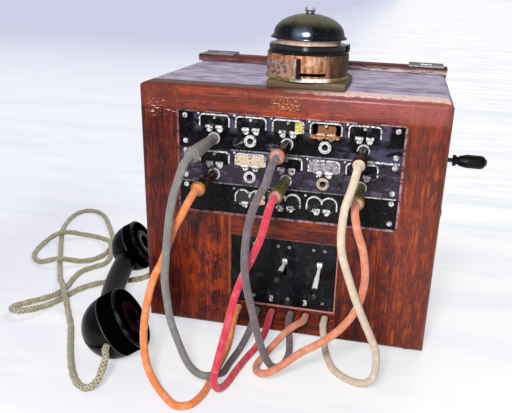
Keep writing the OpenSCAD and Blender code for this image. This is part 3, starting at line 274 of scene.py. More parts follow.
# Woods
def front_wood():
    """Veneered front: upright grain at the sides and beside the keys, lying grain on the rails."""
    finish = Finish("mahogany_front", Coat_Roughness=0.2, Specular_IOR_Level=0.2)
    across, up = finish.axis("X"), finish.axis("Z")
    side = abs(across)
    beside = finish.fade(side, 58, 62) * finish.fade(up, FIELD_BOTTOM - 1, FIELD_BOTTOM - 4)
    upright = finish.fade(side, FIELD_HALF, FIELD_HALF + 3).larger(beside)

    def grain(thin, long, shift, detail=5):
        lying = finish.noise((long, thin, thin), detail, 0.62, shift, 0.6)
        standing = finish.noise((thin, thin, long), detail, 0.62, shift + 1, 0.6)
        return lying + (standing - lying) * upright

    def border(half, bottom, top, sides, below, above):
        """A line round the outside of a panel set into the front."""
        return (finish.area(-half - sides[0], half + sides[1], bottom - below, top + above, 0.3)
                - finish.area(-half, half, bottom, top, 0.2))
    broad, fine, pores = grain(9, 90, 2), grain(1.5, 26, 4), grain(0.8, 9, 6, 2)
    ragged = finish.noise(5, 5, 0.7, 29)
    streak = finish.spots(0.52, 0.6, (2.2, 2.2, 34), 4, 0.65, 17)
    streaked = finish.fade(across, -118, -124) + finish.fade(across, 142, 148) * 0.6
    rubbed = finish.fade(up, 250, 262) * finish.fade(across, -30, 90)
    shade = finish.fade(across, -112, -132) * 0.35 + finish.area(-60, 60, KEY_TOP, FIELD_BOTTOM, 3) * 0.3
    lit = finish.fade(across, 96, 130) * 0.15 + finish.fade(up, FIELD_TOP, FIELD_TOP + 6) * 0.2
    top_edge = finish.fade(up + ragged * 5, CASE_TOP + 0.4, CASE_TOP + 2.6)
    arris = finish.fade(finish.axis("Y"), FRONT + 4, FRONT + 1.5)
    right_edge = finish.fade(across + ragged * 4, CASE_HALF - 0.4, CASE_HALF + 2) * arris
    left_edge = finish.fade(across - ragged * 3, 1.6 - CASE_HALF, -0.6 - CASE_HALF) * arris
    scars = finish.area(-148, -130, 243, 259, 4) + finish.area(-127, -92, 245, 251, 3)
    field_line = border(FIELD_HALF, FIELD_BOTTOM, FIELD_TOP, (2.2, 2.2), 2.2, 1.6)
    key_line = border(KEY_HALF, KEY_BOTTOM, KEY_TOP, (1, 1.2), 1.8, 0.4)
    bead = finish.area(-KEY_HALF - 3.2, -KEY_HALF - 1, 46, FIELD_BOTTOM - 2, 0.5)
    specks = finish.spots(0.67, 0.73, 1.7, 3, 0.7, 41)
    pits = finish.fade(pores, 0.58, 0.66)
    colour = finish.coats(
        finish.ramp(broad * 0.5 + fine * 0.5,
                    (0.36, "#1c0708"), (0.46, "#4a1208"), (0.55, "#7c2a0f"), (0.68, "#b34e18")),
        # Stains in the veneer
        (finish.spots(0.53, 0.64, 15, 6, 0.68, 9) * 0.45, "#963a12"),
        (finish.spots(0.49, 0.38, 19, 6, 0.7, 15) * 0.75, "#2c0d17"),
        (streak * streaked * 0.7, "#2a0a12"),
        (finish.spots(0.5, 0.58, (5, 5, 12), 5, 0.7, 21) * finish.area(-110, -66, 46, 110, 8) * 0.6,
         "#b8430f"),
        # Bare streaks low on the right, and the rubbed upper right corner
        (finish.spots(0.56, 0.64, (3, 3, 26), 4, 0.65, 23) * finish.fade(across, 96, 116)
         * finish.fade(up, 236, 200) * 0.45, "#c9621f"),
        (rubbed * (finish.noise(12, 4, 0.6, 27) * 0.5 + 0.2), "#935763"),
        (shade, "#2a0c0a"),
        (lit, "#b5604a"),
        # Edges: pale along the top at the right and dark at the left, orange down the right side and dark down
        # the left
        (top_edge * finish.fade(across, -30, 60) * 0.9, "#efcfc4"),
        (top_edge * finish.fade(across, -30, -70) * 0.7, "#4b3127"),
        (right_edge * 0.8, "#c98b45"),
        (left_edge * 0.9, "#2b1a18"),
        # Scratches on the top rail
        (finish.spots(0.55, 0.6, (2.6, 2.6, 1.5), 3, 0.7, 33) * finish.area(-17, 10, 257, 269, 3),
         "#e9a661"),
        (finish.spots(0.57, 0.62, (7, 3, 1.6), 4, 0.75, 35) * scars, "#efb8ac"),
        # Pale lines round the strips and the key plate
        (field_line * finish.spots(0.4, 0.56, 7, 4, 0.7, 39)
         * (finish.fade(across, -100, 60) * 0.5 + 0.3), "#b79aa8"),
        (key_line * finish.fade(across, -50, -20) * 0.75, "#cf9292"),
        (bead * 0.45, "#9a6733"),
        (specks * 0.55, "#d79c7c"),
        (pits * 0.5, "#1c070a"))
    finish.paint(Base_Color=colour, Roughness=fine * 0.2 + rubbed * 0.14 + 0.28 + specks * 0.2,
                 Normal=finish.bump(fine * 0.5 - pits * 0.6 - streak * 0.2, 0.22, 0.5), Coat_Weight=0.15)


def wood(name, dark, middle_tone, light, run, dust, shift, gloss, wear=None):
    """Varnished wood; run is 0, 1 or 2, the axis that the grain follows."""
    finish = Finish(name, Coat_Roughness=0.25, Specular_IOR_Level=0.25)

    def stretched(across, along):
        sizes = [across] * 3
        sizes[run] = along
        return sizes
    broad = finish.noise(stretched(14, 160), 4, 0.55, shift, 1.2)
    fine = finish.noise(stretched(1.6, 46), 5, 0.6, shift + 3)
    stain = finish.noise(30, 6, 0.66, shift + 9)
    pits = finish.spots(0.6, 0.68, stretched(0.7, 14), 2, 0.6, shift + 5)
    specks = finish.spots(0.66, 0.74, 2.2, 3, 0.7, shift + 12)
    colour = finish.coats(
        finish.ramp(broad * 0.5 + fine * 0.5, (0.37, dark), (0.5, middle_tone), (0.63, light)),
        (finish.fade(stain, 0.52, 0.66) * 0.5, light),
        (finish.fade(stain, 0.48, 0.34) * 0.7, dark),
        (pits * 0.5, dark),
        (specks * 0.4, dust))
    rough = gloss + fine * 0.16 + stain * 0.14
    if wear:
        worn = wear(finish)
        colour = finish.mix(worn, colour, dust)
        rough = rough + worn * 0.25
    finish.paint(Base_Color=colour, Roughness=rough, Normal=finish.bump(fine * 0.5 - pits * 0.6, 0.25, 0.55),
                 Coat_Weight=0.12)


def top_wear(finish):
    return (finish.spots(0.48, 0.62, (26, 3, 3), 5, 0.7, 31) * 0.55
            + finish.spots(0.45, 0.65, 30, 5, 0.65, 33) * 0.4)


def batten_pale_band(finish):
    """The batten behind the bell is pale at the right and along its lower front."""
    lower = finish.fade(finish.axis("Z"), CASE_TOP + 7, CASE_TOP + 2)
    return (finish.spots(0.4, 0.55, (24, 4, 2), 5, 0.7, 37) * lower
            * (finish.fade(finish.axis("X"), -20, 60) * 0.7 + 0.2))


front_wood()
wood("mahogany_case", "#33100c", "#6a2414", "#a4501f", 1, "#c0907c", 40, 0.4)
wood("mahogany_door", "#33100e", "#6b2616", "#95431f", 2, "#b0857c", 60, 0.42)
wood("mahogany_trim", "#2b1010", "#4c1d18", "#7b3a2a", 0, "#ecd4cf", 80, 0.42, batten_pale_band)
wood("worn_board", "#5e4a58", "#988ca5", "#bdb4cf", 0, "#cfc6d6", 100, 0.5, top_wear)


# Strips, painted trim and cards
def strip_rubber():
    """The three jack strips: glossy black, worn grey-purple, and blue-black."""
    finish = Finish("strip_rubber", Specular_IOR_Level=0.12)
    across, up = finish.axis("X"), finish.axis("Z")
    top_row = finish.fade(up, UPPER_JOINT - 0.3, UPPER_JOINT + 0.3)
    middle_row = finish.fade(up, LOWER_JOINT - 0.3, LOWER_JOINT + 0.3) - top_row
    cloud = finish.noise(9, 5, 0.68, 3)
    smear_and_sheen = finish.noise((14, 4, 6), 5, 0.7, 7)
    columns = (across - 1).folded(JACK_PITCH / 2)
    between = finish.fade(columns + cloud * 4, 15, 19) * finish.fade(up, 228, 236)
    worn = finish.fade(cloud, 0.3, 0.5) * 0.75 + 0.25
    patches = finish.spots(0.5, 0.58, (6, 6, 4), 5, 0.7, 11)
    near_jacks = finish.area(-56, -44, 217, 225, 2) + finish.area(-20, -8, 215, 222, 2)
    joints = (finish.area(80, 112, UPPER_JOINT - 1.3, UPPER_JOINT + 0.7, 0.35)
              + finish.area(66, 112, LOWER_JOINT - 0.6, LOWER_JOINT + 0.6, 0.3)
              + finish.area(-114, 66, LOWER_JOINT - 0.6, LOWER_JOINT + 0.3, 0.25) * 0.4
              + finish.area(-60, 80, UPPER_JOINT - 0.7, UPPER_JOINT + 0.5, 0.25) * 0.4)
    specks = finish.spots(0.66, 0.72, 1.3, 3, 0.7, 19)
    colour = finish.coats(
        "#060508",
        (finish.fade(cloud, 0.5, 0.66) * 0.5, "#26242c"),
        # Painted lilac highlights between the windows of the top row, and smears low at its right end
        (between * top_row * finish.fade(smear_and_sheen, 0.36, 0.52) * 0.6, "#5f576c"),
        (top_row * finish.fade(up, 232, 222) * finish.fade(across, 40, 70)
         * finish.fade(smear_and_sheen, 0.42, 0.56) * 0.6, "#55516a"),
        # The lowest strip is the darkest and the middle one the palest
        (finish.fade(up, LOWER_JOINT + 0.3, LOWER_JOINT - 0.3) * 0.6, "#030407"),
        (middle_row * worn * 0.9, "#332d39"),
        (middle_row * finish.fade(smear_and_sheen, 0.52, 0.6) * 0.4, "#746a7a"),
        (patches * near_jacks * 0.9, "#66707a"),
        (patches * finish.fade(up, 174, 168) * 0.15, "#2c3638"),
        # White dirt in the joints between the strips
        (joints * finish.spots(0.4, 0.5, 3, 4, 0.7, 15), "#e9e6e6"),
        (specks * 0.5, "#a7a3ab"))
    finish.paint(Base_Color=colour, Roughness=cloud * 0.2 + worn * middle_row * 0.25 + 0.12,
                 Normal=finish.bump(cloud * 0.5 + specks * 0.4, 0.1, 0.4))


def chalked(name, colour, bare, amount, shift, size, roughness=0.45):
    """White paint or corroded plating with dark chips; amount is the share that is bare."""
    finish = Finish(name)
    chips = finish.spots(0.38 + amount * 0.22, 0.34 + amount * 0.2, size, 5, 0.7, shift)
    tone = finish.coats(colour, (finish.noise(size * 3, 4, 0.6, shift + 3) * 0.5, "#a9a4a8"), (chips, bare))
    finish.paint(Base_Color=tone, Roughness=roughness - chips * 0.2, Normal=finish.bump(1 - chips, 0.2, 0.6))


def stained_card(name, colour, stain, dark, shift):
    finish = Finish(name)
    cloud = finish.noise((4, 4, 2.4), 5, 0.7, shift)
    tone = finish.coats(colour, (finish.fade(cloud, 0.45, 0.55), stain), (finish.fade(cloud, 0.46, 0.4), dark))
    finish.paint(Base_Color=tone, Roughness=0.6 + cloud * 0.2, Normal=finish.bump(cloud, 0.15, 0.5))


def half_card(name, card_colour, stain, split, shift):
    """A shutter that is black left of the split and a stained card right of it."""
    finish = Finish(name)
    cloud = finish.noise((3, 3, 3), 5, 0.7, shift)
    card = finish.fade(finish.axis("X") + cloud * 2, split + 0.8, split + 1.4)
    tone = finish.mix(card, "#0b0a0c", finish.mix(finish.fade(cloud, 0.48, 0.56), card_colour, stain))
    finish.paint(Base_Color=tone, Roughness=card * 0.35 + 0.25, Normal=finish.bump(cloud, 0.12, 0.4))


def plain_paint(name, colour, worn, roughness, shift):
    finish = Finish(name)
    cloud = finish.spots(0.48, 0.66, 4, 4, 0.65, shift)
    finish.paint(Base_Color=finish.mix(cloud * 0.6, colour, worn), Roughness=roughness + cloud * 0.2,
                 Normal=finish.bump(cloud, 0.08, 0.4))


strip_rubber()
chalked("chalk_white", "#efecea", "#17151a", 0.45, 3, 2.4)
chalked("ring_white", "#f3f1ee", "#4c4a50", 0.3, 13, 3.2, 0.35)
chalked("ring_tan", "#d9c09a", "#6d4b33", 0.4, 17, 3.2)
chalked("screw_white", "#e4e1df", "#3c393d", 0.5, 23, 2.0)
chalked("screw_grey", "#8d8e8f", "#2a2a2c", 0.5, 33, 1.4)
stained_card("label_cream", "#e6d7bd", "#bfa588", "#5b4038", 3)
stained_card("card_grey", "#7c737d", "#a59da6", "#2a252d", 13)
stained_card("card_orange", "#c77f37", "#e0a868", "#1e1210", 23)
half_card("shutter_yellow", "#a39a33", "#d6cf80", 7, 5)
half_card("shutter_peach", "#c98a55", "#e6b88c", -32, 15)
plain_paint("white_paint", "#ece8e2", "#8f8b8b", 0.5, 1)
plain_paint("pink_ferrule", "#c9938c", "#8d5c55", 0.6, 4)
plain_paint("cream_ferrule", "#d3bfa2", "#9a8468", 0.6, 5)
plain_paint("orange_ferrule", "#d98f55", "#8c4a25", 0.6, 8)


# Metals
def metal(name, colour, tarnish, roughness, spots, scale, shift, metallic, grime="#2b2620"):
    finish = Finish(name)
    cloud = finish.noise(scale, 5, 0.62, shift)
    fine = finish.noise(scale / 9, 4, 0.6, shift + 4)
    mask = finish.fade(cloud * 0.7 + fine * 0.3, 0.62 - spots * 0.25, 0.72 - spots * 0.1)
    dirt = finish.spots(0.6, 0.7, scale / 4, 4, 0.7, shift + 8)
    finish.paint(Base_Color=finish.coats(colour, (mask, tarnish), (dirt * 0.5, grime)),
                 Roughness=roughness + mask * 0.22 + fine * 0.12 + dirt * 0.2, Metallic=metallic - dirt * 0.5,
                 Normal=finish.bump(fine * 0.6 + mask * 0.3, 0.12, 0.4))


def gong_steel(shine_z):
    """Blued bell steel with a painted warm reflection above shine_z and a painted pale blue reflection of the
    floor below it.
    """
    finish = Finish("gong_metal", Specular_IOR_Level=0.6)
    cloud = finish.noise(16, 5, 0.65, 4)
    sheen = finish.fade(finish.axis("Z") + cloud * 10, shine_z, shine_z + 9)
    floor_reflection = finish.area(BELL.x - 9, BELL.x + 6, shine_z - 14, shine_z - 4, 5)
    spots = finish.spots(0.62, 0.68, 2, 4, 0.7, 9)
    # Painted reflections: the warm sheen over the top and the pale blue patch of floor low at the front
    tone = finish.coats("#1d1d26", (finish.fade(cloud, 0.45, 0.65) * 0.5, "#3a3d47"), (sheen * 0.85, "#8a8560"),
                        (floor_reflection * cloud, "#a9bacd"), (spots * 0.6, "#8c8578"))
    finish.paint(Base_Color=tone, Roughness=0.12 + cloud * 0.16 + spots * 0.3, Metallic=0.85 - spots * 0.5,
                 Normal=finish.bump(cloud * 0.4 + spots * 0.4, 0.1, 0.3))


def drum_finish():
    """Bell drum: pale brass at the left, orange at the right; upright streaks of painted highlight, and painted
    shade darkening its right flank.
    """
    finish = Finish("drum_brass")
    across, up = finish.axis("X"), finish.axis("Z")
    cloud = finish.noise(9, 5, 0.7, 9)
    pale = finish.fade(across + cloud * 14, BELL.x - 2, BELL.x - 10)
    dark = finish.spots(0.49, 0.57, (6, 6, 5), 6, 0.8, 15)
    tone = finish.coats(
        "#9a5426",
        # Upright streaks of painted highlight
        (finish.spots(0.4, 0.6, (3.5, 3.5, 30), 5, 0.65, 5), "#d2a07a"),
        (finish.fade(cloud, 0.5, 0.62) * 0.7, "#d9b79b"),
        (pale * finish.fade(cloud, 0.3, 0.46) * 0.85, "#a98a80"),
        (pale * finish.fade(up, 302, 306) * 0.7, "#b8722c"),
        (dark * (pale * 0.5 + 0.4), "#2c211f"),
        # Painted shade on the right flank of the drum
        (finish.fade(across, BELL.x + 20, BELL.x + 32) * 0.85, "#3d2413"))
    finish.paint(Base_Color=tone, Roughness=cloud * 0.2 + 0.3 + pale * 0.1, Metallic=0.55 - pale * 0.2,
                 Normal=finish.bump(cloud * 0.5 + dark * -0.5, 0.15, 0.4))


def bead_finish():
    """Foot bead of the drum, with a painted white highlight along its front right."""
    finish = Finish("foot_bead")
    cloud = finish.noise(4, 5, 0.7, 3)
    across = finish.axis("X") + cloud * 6
    # Painted highlight along the front right of the bead
    painted_highlight = finish.fade(across, BELL.x - 8, BELL.x + 1) * finish.fade(across, BELL.x + 34, BELL.x + 26)
    tone = finish.coats("#6a5526", (finish.fade(cloud, 0.4, 0.6), "#a58c55"),
                        (painted_highlight * finish.fade(cloud, 0.3, 0.44), "#f7f1e6"))
    finish.paint(Base_Color=tone, Roughness=cloud * 0.2 + 0.3, Metallic=0.3 - painted_highlight * 0.25)


for values in (
        ("nickel", "#cfcdc8", "#8b8790", 0.22, 0.4, 7, 1, 1.0, "#3a3638"),
        ("jack_body", "#8e8c8c", "#5f5b60", 0.35, 0.4, 5, 14, 0.6, "#2b292b"),
        ("steel", "#a9a7ab", "#77716c", 0.32, 0.5, 12, 2, 1.0, "#4a3c30"),
        ("dark_steel", "#4c4b50", "#33302f", 0.34, 0.5, 14, 3, 1.0),
        ("nut_steel", "#6d6c70", "#4b4745", 0.36, 0.5, 5, 15, 0.7),
        ("band_metal", "#e0c3ae", "#a38c62", 0.38, 0.5, 6, 6, 0.25, "#4a3a30"),
        ("plinth_paint", "#64523c", "#43332a", 0.5, 0.3, 9, 7, 0.4, "#241b16"),
        ("spring_brass", "#b8944e", "#80653a", 0.3, 0.4, 10, 8, 1.0),
        ("dull_brass", "#3d3222", "#1c1814", 0.5, 0.5, 6, 18, 0.5),
        ("olive_brass", "#7d733a", "#4b4727", 0.28, 0.5, 6, 9, 0.6),
        ("grey_sleeve", "#8f8c86", "#66635f", 0.36, 0.5, 6, 10, 0.45),
        ("copper_band", "#c08065", "#7f5140", 0.35, 0.3, 6, 11, 0.5),
        ("gold_ring", "#b08a45", "#5d4522", 0.3, 0.4, 5, 16, 0.8),
        ("cast_frame", "#5a5650", "#3b3733", 0.55, 0.5, 16, 12, 0.6),
        ("magnet_red", "#6e2b22", "#3e1a16", 0.5, 0.5, 18, 13, 0.1)):
    metal(*values)
gong_steel(high("bell_gong").z - 9)
drum_finish()
bead_finish()


# Hard rubber and black levers
def moulded(name, colour, scuff, roughness, amount, shift, scale=20, shine=0.15):
    """Glossy moulded or turned hard rubber with dust and scratches."""
    finish = Finish(name, Specular_IOR_Level=shine)
    haze = finish.noise(scale, 5, 0.62, shift)
    scratch = finish.spots(0.64, 0.72, (1.2, 1.2, 14), 3, 0.6, shift + 5)
    speck = finish.spots(0.69, 0.75, 1.5, 2, 0.6, shift + 9)
    mask = finish.fade(haze, 0.5, 0.75) * amount
    tone = finish.coats(colour, (mask, scuff), ((scratch + speck) * 0.3 * (amount + 0.2), scuff))
    finish.paint(Base_Color=tone, Roughness=roughness + mask * 0.6 + scratch * 0.15,
                 Normal=finish.bump(haze * 0.3 + scratch * -0.3, 0.1, 0.35))


def key_lever(number, share):
    """A black key lever whose shank, up to a share of its reach, carries a painted white highlight on top."""
    name = f"key_lever_{number}"
    finish = Finish(name)
    shank_end = STRIP_FACE - (STRIP_FACE - low(name).y) * share
    scuff = finish.noise(3, 4, 0.65, number)
    # Painted white highlight along the top of the shank
    painted_highlight = (finish.fade(finish.axis("Y"), shank_end - 1, shank_end + 1)
              * finish.fade(abs(finish.axis("X") - KEY_COLUMNS[number - 1]), 3.2, 2.2))
    tone = finish.coats("#09090b", (finish.fade(scuff, 0.56, 0.66) * 0.4, "#7b7a80"), (painted_highlight, "#ffffff"))
    finish.paint(Base_Color=tone, Roughness=scuff * 0.2 + 0.15, Metallic=painted_highlight * 0.2,
                 Normal=finish.bump(scuff, 0.08, 0.3))


def highlit_lever():
    """The cut-out lever: dark maroon on its right half, with a painted grey-olive highlight down its left half.
    """
    finish = Finish("highlit_lever", Specular_IOR_Level=0.3)
    cloud = finish.noise((3, 3, 9), 4, 0.6, 3)
    right_half = finish.fade(finish.axis("X"), CUT_OUT_X - 0.6, CUT_OUT_X + 0.4)
    # The grey-olive left half is a painted highlight on the dark maroon rod
    tone = finish.coats("#6f6b52", (finish.fade(cloud, 0.4, 0.6), "#a29d8c"), (right_half, "#2a0b10"))
    finish.paint(Base_Color=tone, Roughness=cloud * 0.2 + 0.2, Normal=finish.bump(cloud, 0.1, 0.3))


for values in (
        ("ebonite", "#0d0c0f", "#6d6a70", 0.2, 0.35, 3),
        ("key_black", "#0a0b10", "#4d5560", 0.16, 0.3, 7, 12),
        ("shutter_black", "#08070a", "#5b5a63", 0.22, 0.5, 9, 9),
        ("grip_ebonite", "#0c0b0c", "#4b4244", 0.22, 0.2, 13),
        ("handset_ebonite", "#030304", "#171b1f", 0.2, 0.12, 23, 34),
        ("cap_ebonite", "#030304", "#171b1f", 0.5, 0.2, 25, 34, 0),
        # Grey seam: a painted highlight along the joint of cap and body
        ("seam_highlight_grey", "#3a4145", "#7d878a", 0.3, 0.5, 27, 12),
        ("rim_black", "#070708", "#6d7577", 0.16, 0.35, 29, 14),
        ("bush_brown", "#2e130d", "#5a2d1b", 0.5, 0.5, 43, 8),
        ("collar_black", "#0a0a0e", "#3f4c63", 0.12, 0.25, 53, 20, 0.7),
        ("brown_sleeve", "#260c0e", "#6a4038", 0.16, 0.3, 83, 10),
        ("foot_rubber", "#4b4642", "#8b837b", 0.6, 0.5, 93)):
    moulded(*values)
for number, share in enumerate((0.4, 0.5, 0.7), 1):
    key_lever(number, share)
highlit_lever()


# Coils and cord cotton
def winding(name, colour, shade, run):
    """Cotton-covered wire wound side by side along one axis."""
    finish = Finish(name)
    half_wire = 0.35
    turns = finish.axis(run).folded(half_wire) / half_wire
    cloud = finish.noise(6, 3)
    finish.paint(Base_Color=finish.mix(turns * 0.6 + cloud * 0.3, shade, colour), Roughness=0.62 + cloud * 0.15,
                 Normal=finish.bump(turns, 0.3, 0.7))


def braid(name, colour, shade, fleck, strands, slant, depth):
    """Woven cotton; the cord's own map runs round in U and along in V, one per diameter."""
    finish = Finish(name, Sheen_Weight=0.25, Sheen_Roughness=0.5)
    uv = finish.node("ShaderNodeUVMap", {"uv_map": "weave"})
    around, along = (finish.node("ShaderNodeSeparateXYZ", None, {"Vector": uv}, letter) for letter in "XY")

    def thread(sign):
        return (around * strands + along * (sign * slant * strands / 3)).folded(0.5) * 2
    weave = thread(1).larger(thread(-1))
    fuzz = finish.noise(0.9, 3, 0.7, 5)
    tone = finish.coats(shade, (finish.fade(weave, 0.25, 0.9), colour),
                        (finish.spots(0.45, 0.7, 7, 4, 0.6, strands) * 0.45, fleck),
                        (finish.fade(fuzz, 0.58, 0.7) * 0.3, fleck))
    finish.paint(Base_Color=tone, Roughness=0.78 + fuzz * 0.15,
                 Normal=finish.bump(weave * 0.8 + fuzz * 0.2, depth, 0.8))
    return name


winding("coil_red", "#8a3c28", "#4d1f17", "Z")
winding("coil_brown", "#c07a3a", "#4a2412", "Y")


# Modelling helpers
def deselect():
    if bpy.context.object and bpy.context.object.mode != "OBJECT":
        bpy.ops.object.mode_set(mode="OBJECT")
    bpy.ops.object.select_all(action="DESELECT")


def only(obj):
    deselect()
    obj.select_set(True)
    bpy.context.view_layer.objects.active = obj


def settle(obj, at=(0, 0, 0), toward=UP, roll=0.0):
    """Turns the piece's Z towards a direction, moves it to its place in millimetres and applies both."""
    turn = UP.rotation_difference(Vector(toward)) @ Quaternion(UP, roll)
    obj.matrix_world = Matrix.Translation(Vector(at) * MM) @ turn.to_matrix().to_4x4()
    only(obj)
    bpy.ops.object.transform_apply(location=True, rotation=True, scale=True)
    return obj


def clothe(obj, look):
    """Gives a piece or a solid one finish, by the finish's name."""
    obj.data.materials.clear()
    obj.data.materials.append(LOOKS[look])


def give(obj, name, look, body, angle=35):
    """Names a finished piece, smooths it, and hands it to its body."""
    obj.name = name
    obj.data.name = name
    clothe(obj, look)
    only(obj)
    bpy.ops.object.shade_smooth_by_angle(angle=math.radians(angle))
    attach(obj, body)
    return obj


def turned(profile, at=(0, 0, 0), toward=UP, sides=32, close=False):
    """A piece turned on a lathe, from (radius, height) steps; radius 0 closes an end."""
    deselect()
    point_r = 0.005
    steps = [(max(r, point_r), h) for r, h in profile]
    if close:
        steps.append(steps[0])
    radius, height = steps[0]
    bpy.ops.mesh.primitive_circle_add(vertices=sides, radius=radius * MM, location=(0, 0, height * MM))
    obj = bpy.context.object
    bpy.ops.object.transform_apply(location=True)
    bpy.ops.object.mode_set(mode="EDIT")
    bpy.ops.mesh.select_all(action="SELECT")
    for next_radius, next_height in steps[1:]:
        bpy.ops.mesh.extrude_edges_move(
            TRANSFORM_OT_translate={"value": (0, 0, (next_height - height) * MM)})
        ratio = next_radius / radius
        bpy.ops.transform.resize(value=(ratio, ratio, 1), center_override=(0, 0, next_height * MM))
        radius, height = next_radius, next_height
    bpy.ops.mesh.select_all(action="SELECT")
    bpy.ops.mesh.remove_doubles(threshold=0.02 * MM)
    bpy.ops.mesh.normals_make_consistent(inside=False)
    bpy.ops.object.mode_set(mode="OBJECT")
    return settle(obj, at, toward)


def block(lo, hi, bevel=0.5, segments=2):
    """A box between two corners with its edges rounded."""
    deselect()
    lo, hi = Vector(lo), Vector(hi)
    bpy.ops.mesh.primitive_cube_add(size=1, location=(lo + hi) / 2 * MM)
    obj = bpy.context.object
    obj.scale = (hi - lo) * MM
    bpy.ops.object.transform_apply(location=True, rotation=True, scale=True)
    if bevel:
        edge = obj.modifiers.new("edges", "BEVEL")
        edge.width = bevel * MM
        edge.segments = segments
        bpy.ops.object.modifier_apply(modifier="edges")
    return obj


def joined(pieces):
    deselect()
    for piece in pieces:
        piece.select_set(True)
    bpy.context.view_layer.objects.active = pieces[0]
    bpy.ops.object.join()
    return pieces[0]


def cut(obj, tool):
    """Takes the tool's shape out of the piece and deletes the tool."""
    only(obj)
    taken = obj.modifiers.new("cut", "BOOLEAN")
    taken.operation = "DIFFERENCE"
    taken.solver = "EXACT"
    taken.object = tool
    bpy.ops.object.modifier_apply(modifier="cut")
    bpy.data.objects.remove(tool)
    return obj


# Cords
def smooth_line(points, step=2.5):
    """Points close together on one smooth curve through the route's points."""
    line = []
    for i in range(len(points) - 1):
        a, b, c, d = (Vector(points[min(max(k, 0), len(points) - 1)]) for k in (i - 1, i, i + 1, i + 2))
        count = max(1, round((c - b).length / step))
        for s in range(count):
            t = s / count
            line.append(0.5 * (2 * b + (c - a) * t + (2 * a - 5 * b + 4 * c - d) * t * t
                               + (3 * b - a - 3 * c + d) * t ** 3))
    line.append(Vector(points[-1]))
    return line


def line_length(line):
    return sum((b - a).length for a, b in zip(line, line[1:]))


def cord_mesh(name, line, diameter, sides=14, ridges=0, ridge_depth=0.0, twist=0.0):
    """A tube round the line with its own map; ridges run round it like the strands of a rope."""
    vertices, faces, maps = [], [], []
    travelled = 0.0
    normal = None
    for i, point in enumerate(line):
        direction = (line[min(i + 1, len(line) - 1)] - line[max(i - 1, 0)]).normalized()
        if normal is None:
            normal = direction.orthogonal()
        normal = (normal - normal.dot(direction) * direction).normalized()
        side = direction.cross(normal)
        if i:
            travelled += (point - line[i - 1]).length
        for k in range(sides):
            angle = 2 * math.pi * k / sides
            swell = 1 - ridge_depth * (0.5 - 0.5 * math.cos(ridges * angle + twist * travelled / diameter))
            outward = math.cos(angle) * normal + math.sin(angle) * side
            vertices.append((point + diameter / 2 * swell * outward) * MM)
        maps.append(travelled / diameter)
    for i in range(len(line) - 1):
        for k in range(sides):
            a, b = i * sides + k, i * sides + (k + 1) % sides
            faces.append((a, b, b + sides, a + sides))
    last = (len(line) - 1) * sides
    faces.append(tuple(reversed(range(sides))))
    faces.append(tuple(range(last, last + sides)))
    mesh = bpy.data.meshes.new(name)
    mesh.from_pydata(vertices, [], faces)
    layer = mesh.uv_layers.new(name="weave")
    for face_number, face in enumerate(mesh.polygons):
        quad = face_number < (len(line) - 1) * sides
        for corner, loop in enumerate(face.loop_indices):
            vertex = mesh.loops[loop].vertex_index
            ring, k = divmod(vertex, sides)
            if quad and k == 0 and corner in (1, 2):
                k = sides
            layer.data[loop].uv = (k / sides, maps[ring])
    obj = bpy.data.objects.new(name, mesh)
    bpy.context.scene.collection.objects.link(obj)
    return obj


# Plugs, in the order of their cords: column and row of the jack, length from the jack's face to the
# back, finishes of sleeve, ring and ferrule, and the solid that they replace
PLUGS = (
    (-2, 1, 55, "brown_sleeve", "gold_ring", "orange_ferrule", "brown_plugs"),
    (-2, 0, 70, "grey_sleeve", "grey_sleeve", "grey_sleeve", "metal_plugs"),
    (0, 1, 55, "olive_brass", "olive_brass", "pink_ferrule", "metal_plugs"),
    (0, 0, 52, "brown_sleeve", "copper_band", "pink_ferrule", "brown_plugs"),
    (2, 1, 51, "olive_brass", "gold_ring", "cream_ferrule", "metal_plugs"),
    (2, 0, 56, "brown_sleeve", "brown_sleeve", "cream_ferrule", "brown_plugs"),
)


def make_plug(number):
    column, row, length, sleeve, ring, ferrule, node = PLUGS[number - 1]
    at = (column * JACK_PITCH, JACK_FACE, JACK_ROWS[row])
    body = length - 6

    def r(h):
        return SLEEVE_FRONT_R + (SLEEVE_BACK_R - SLEEVE_FRONT_R) * h / body
    grooves = []
    for h in (6, 9):
        grooves += [(r(h), h), (r(h) - 0.5, h + 0.5), (r(h) - 0.5, h + 1.2), (r(h) + 0.1, h + 1.7)]
    profiles = (
        ("sleeve", sleeve, [(0, -0.5), (SLEEVE_FRONT_R - 1, -0.5), (SLEEVE_FRONT_R - 0.4, 0),
                            (SLEEVE_FRONT_R, 0.6)] + grooves
         + [(r(body * 0.5), body * 0.5), (r(body) - 0.2, body - 1.2), (r(body) - 0.6, body), (0, body)]),
        ("ring", ring, [(0, body - 0.4), (SLEEVE_BACK_R - 0.2, body - 0.4), (SLEEVE_BACK_R + 0.4, body + 0.3),
                        (SLEEVE_BACK_R + 0.4, body + 2.2), (SLEEVE_BACK_R - 0.4, body + 3), (0, body + 3)]),
        ("ferrule", ferrule, [(0, body + 2.6), (5.6, body + 2.6), (5.8, body + 3.4), (5.1, body + 5),
                              (4.4, length), (0, length)]),
        ("tip", "spring_brass", [(0, -TIP_L - 2.8), (1.4, -TIP_L - 2.4), (2.6, -TIP_L - 0.8),
                                 (2.9, -TIP_L + 1), (2.1, -TIP_L + 4), (2.3, -TIP_L + 5),
                                 (TIP_R, -TIP_L + 6), (TIP_R, 0), (0, 0)]),
    )
    made = [give(turned(profile, at, FORWARD, 28), f"plug_{number}_{part}", look, "case")
            for part, look, profile in profiles]
    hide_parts(node)
    return made


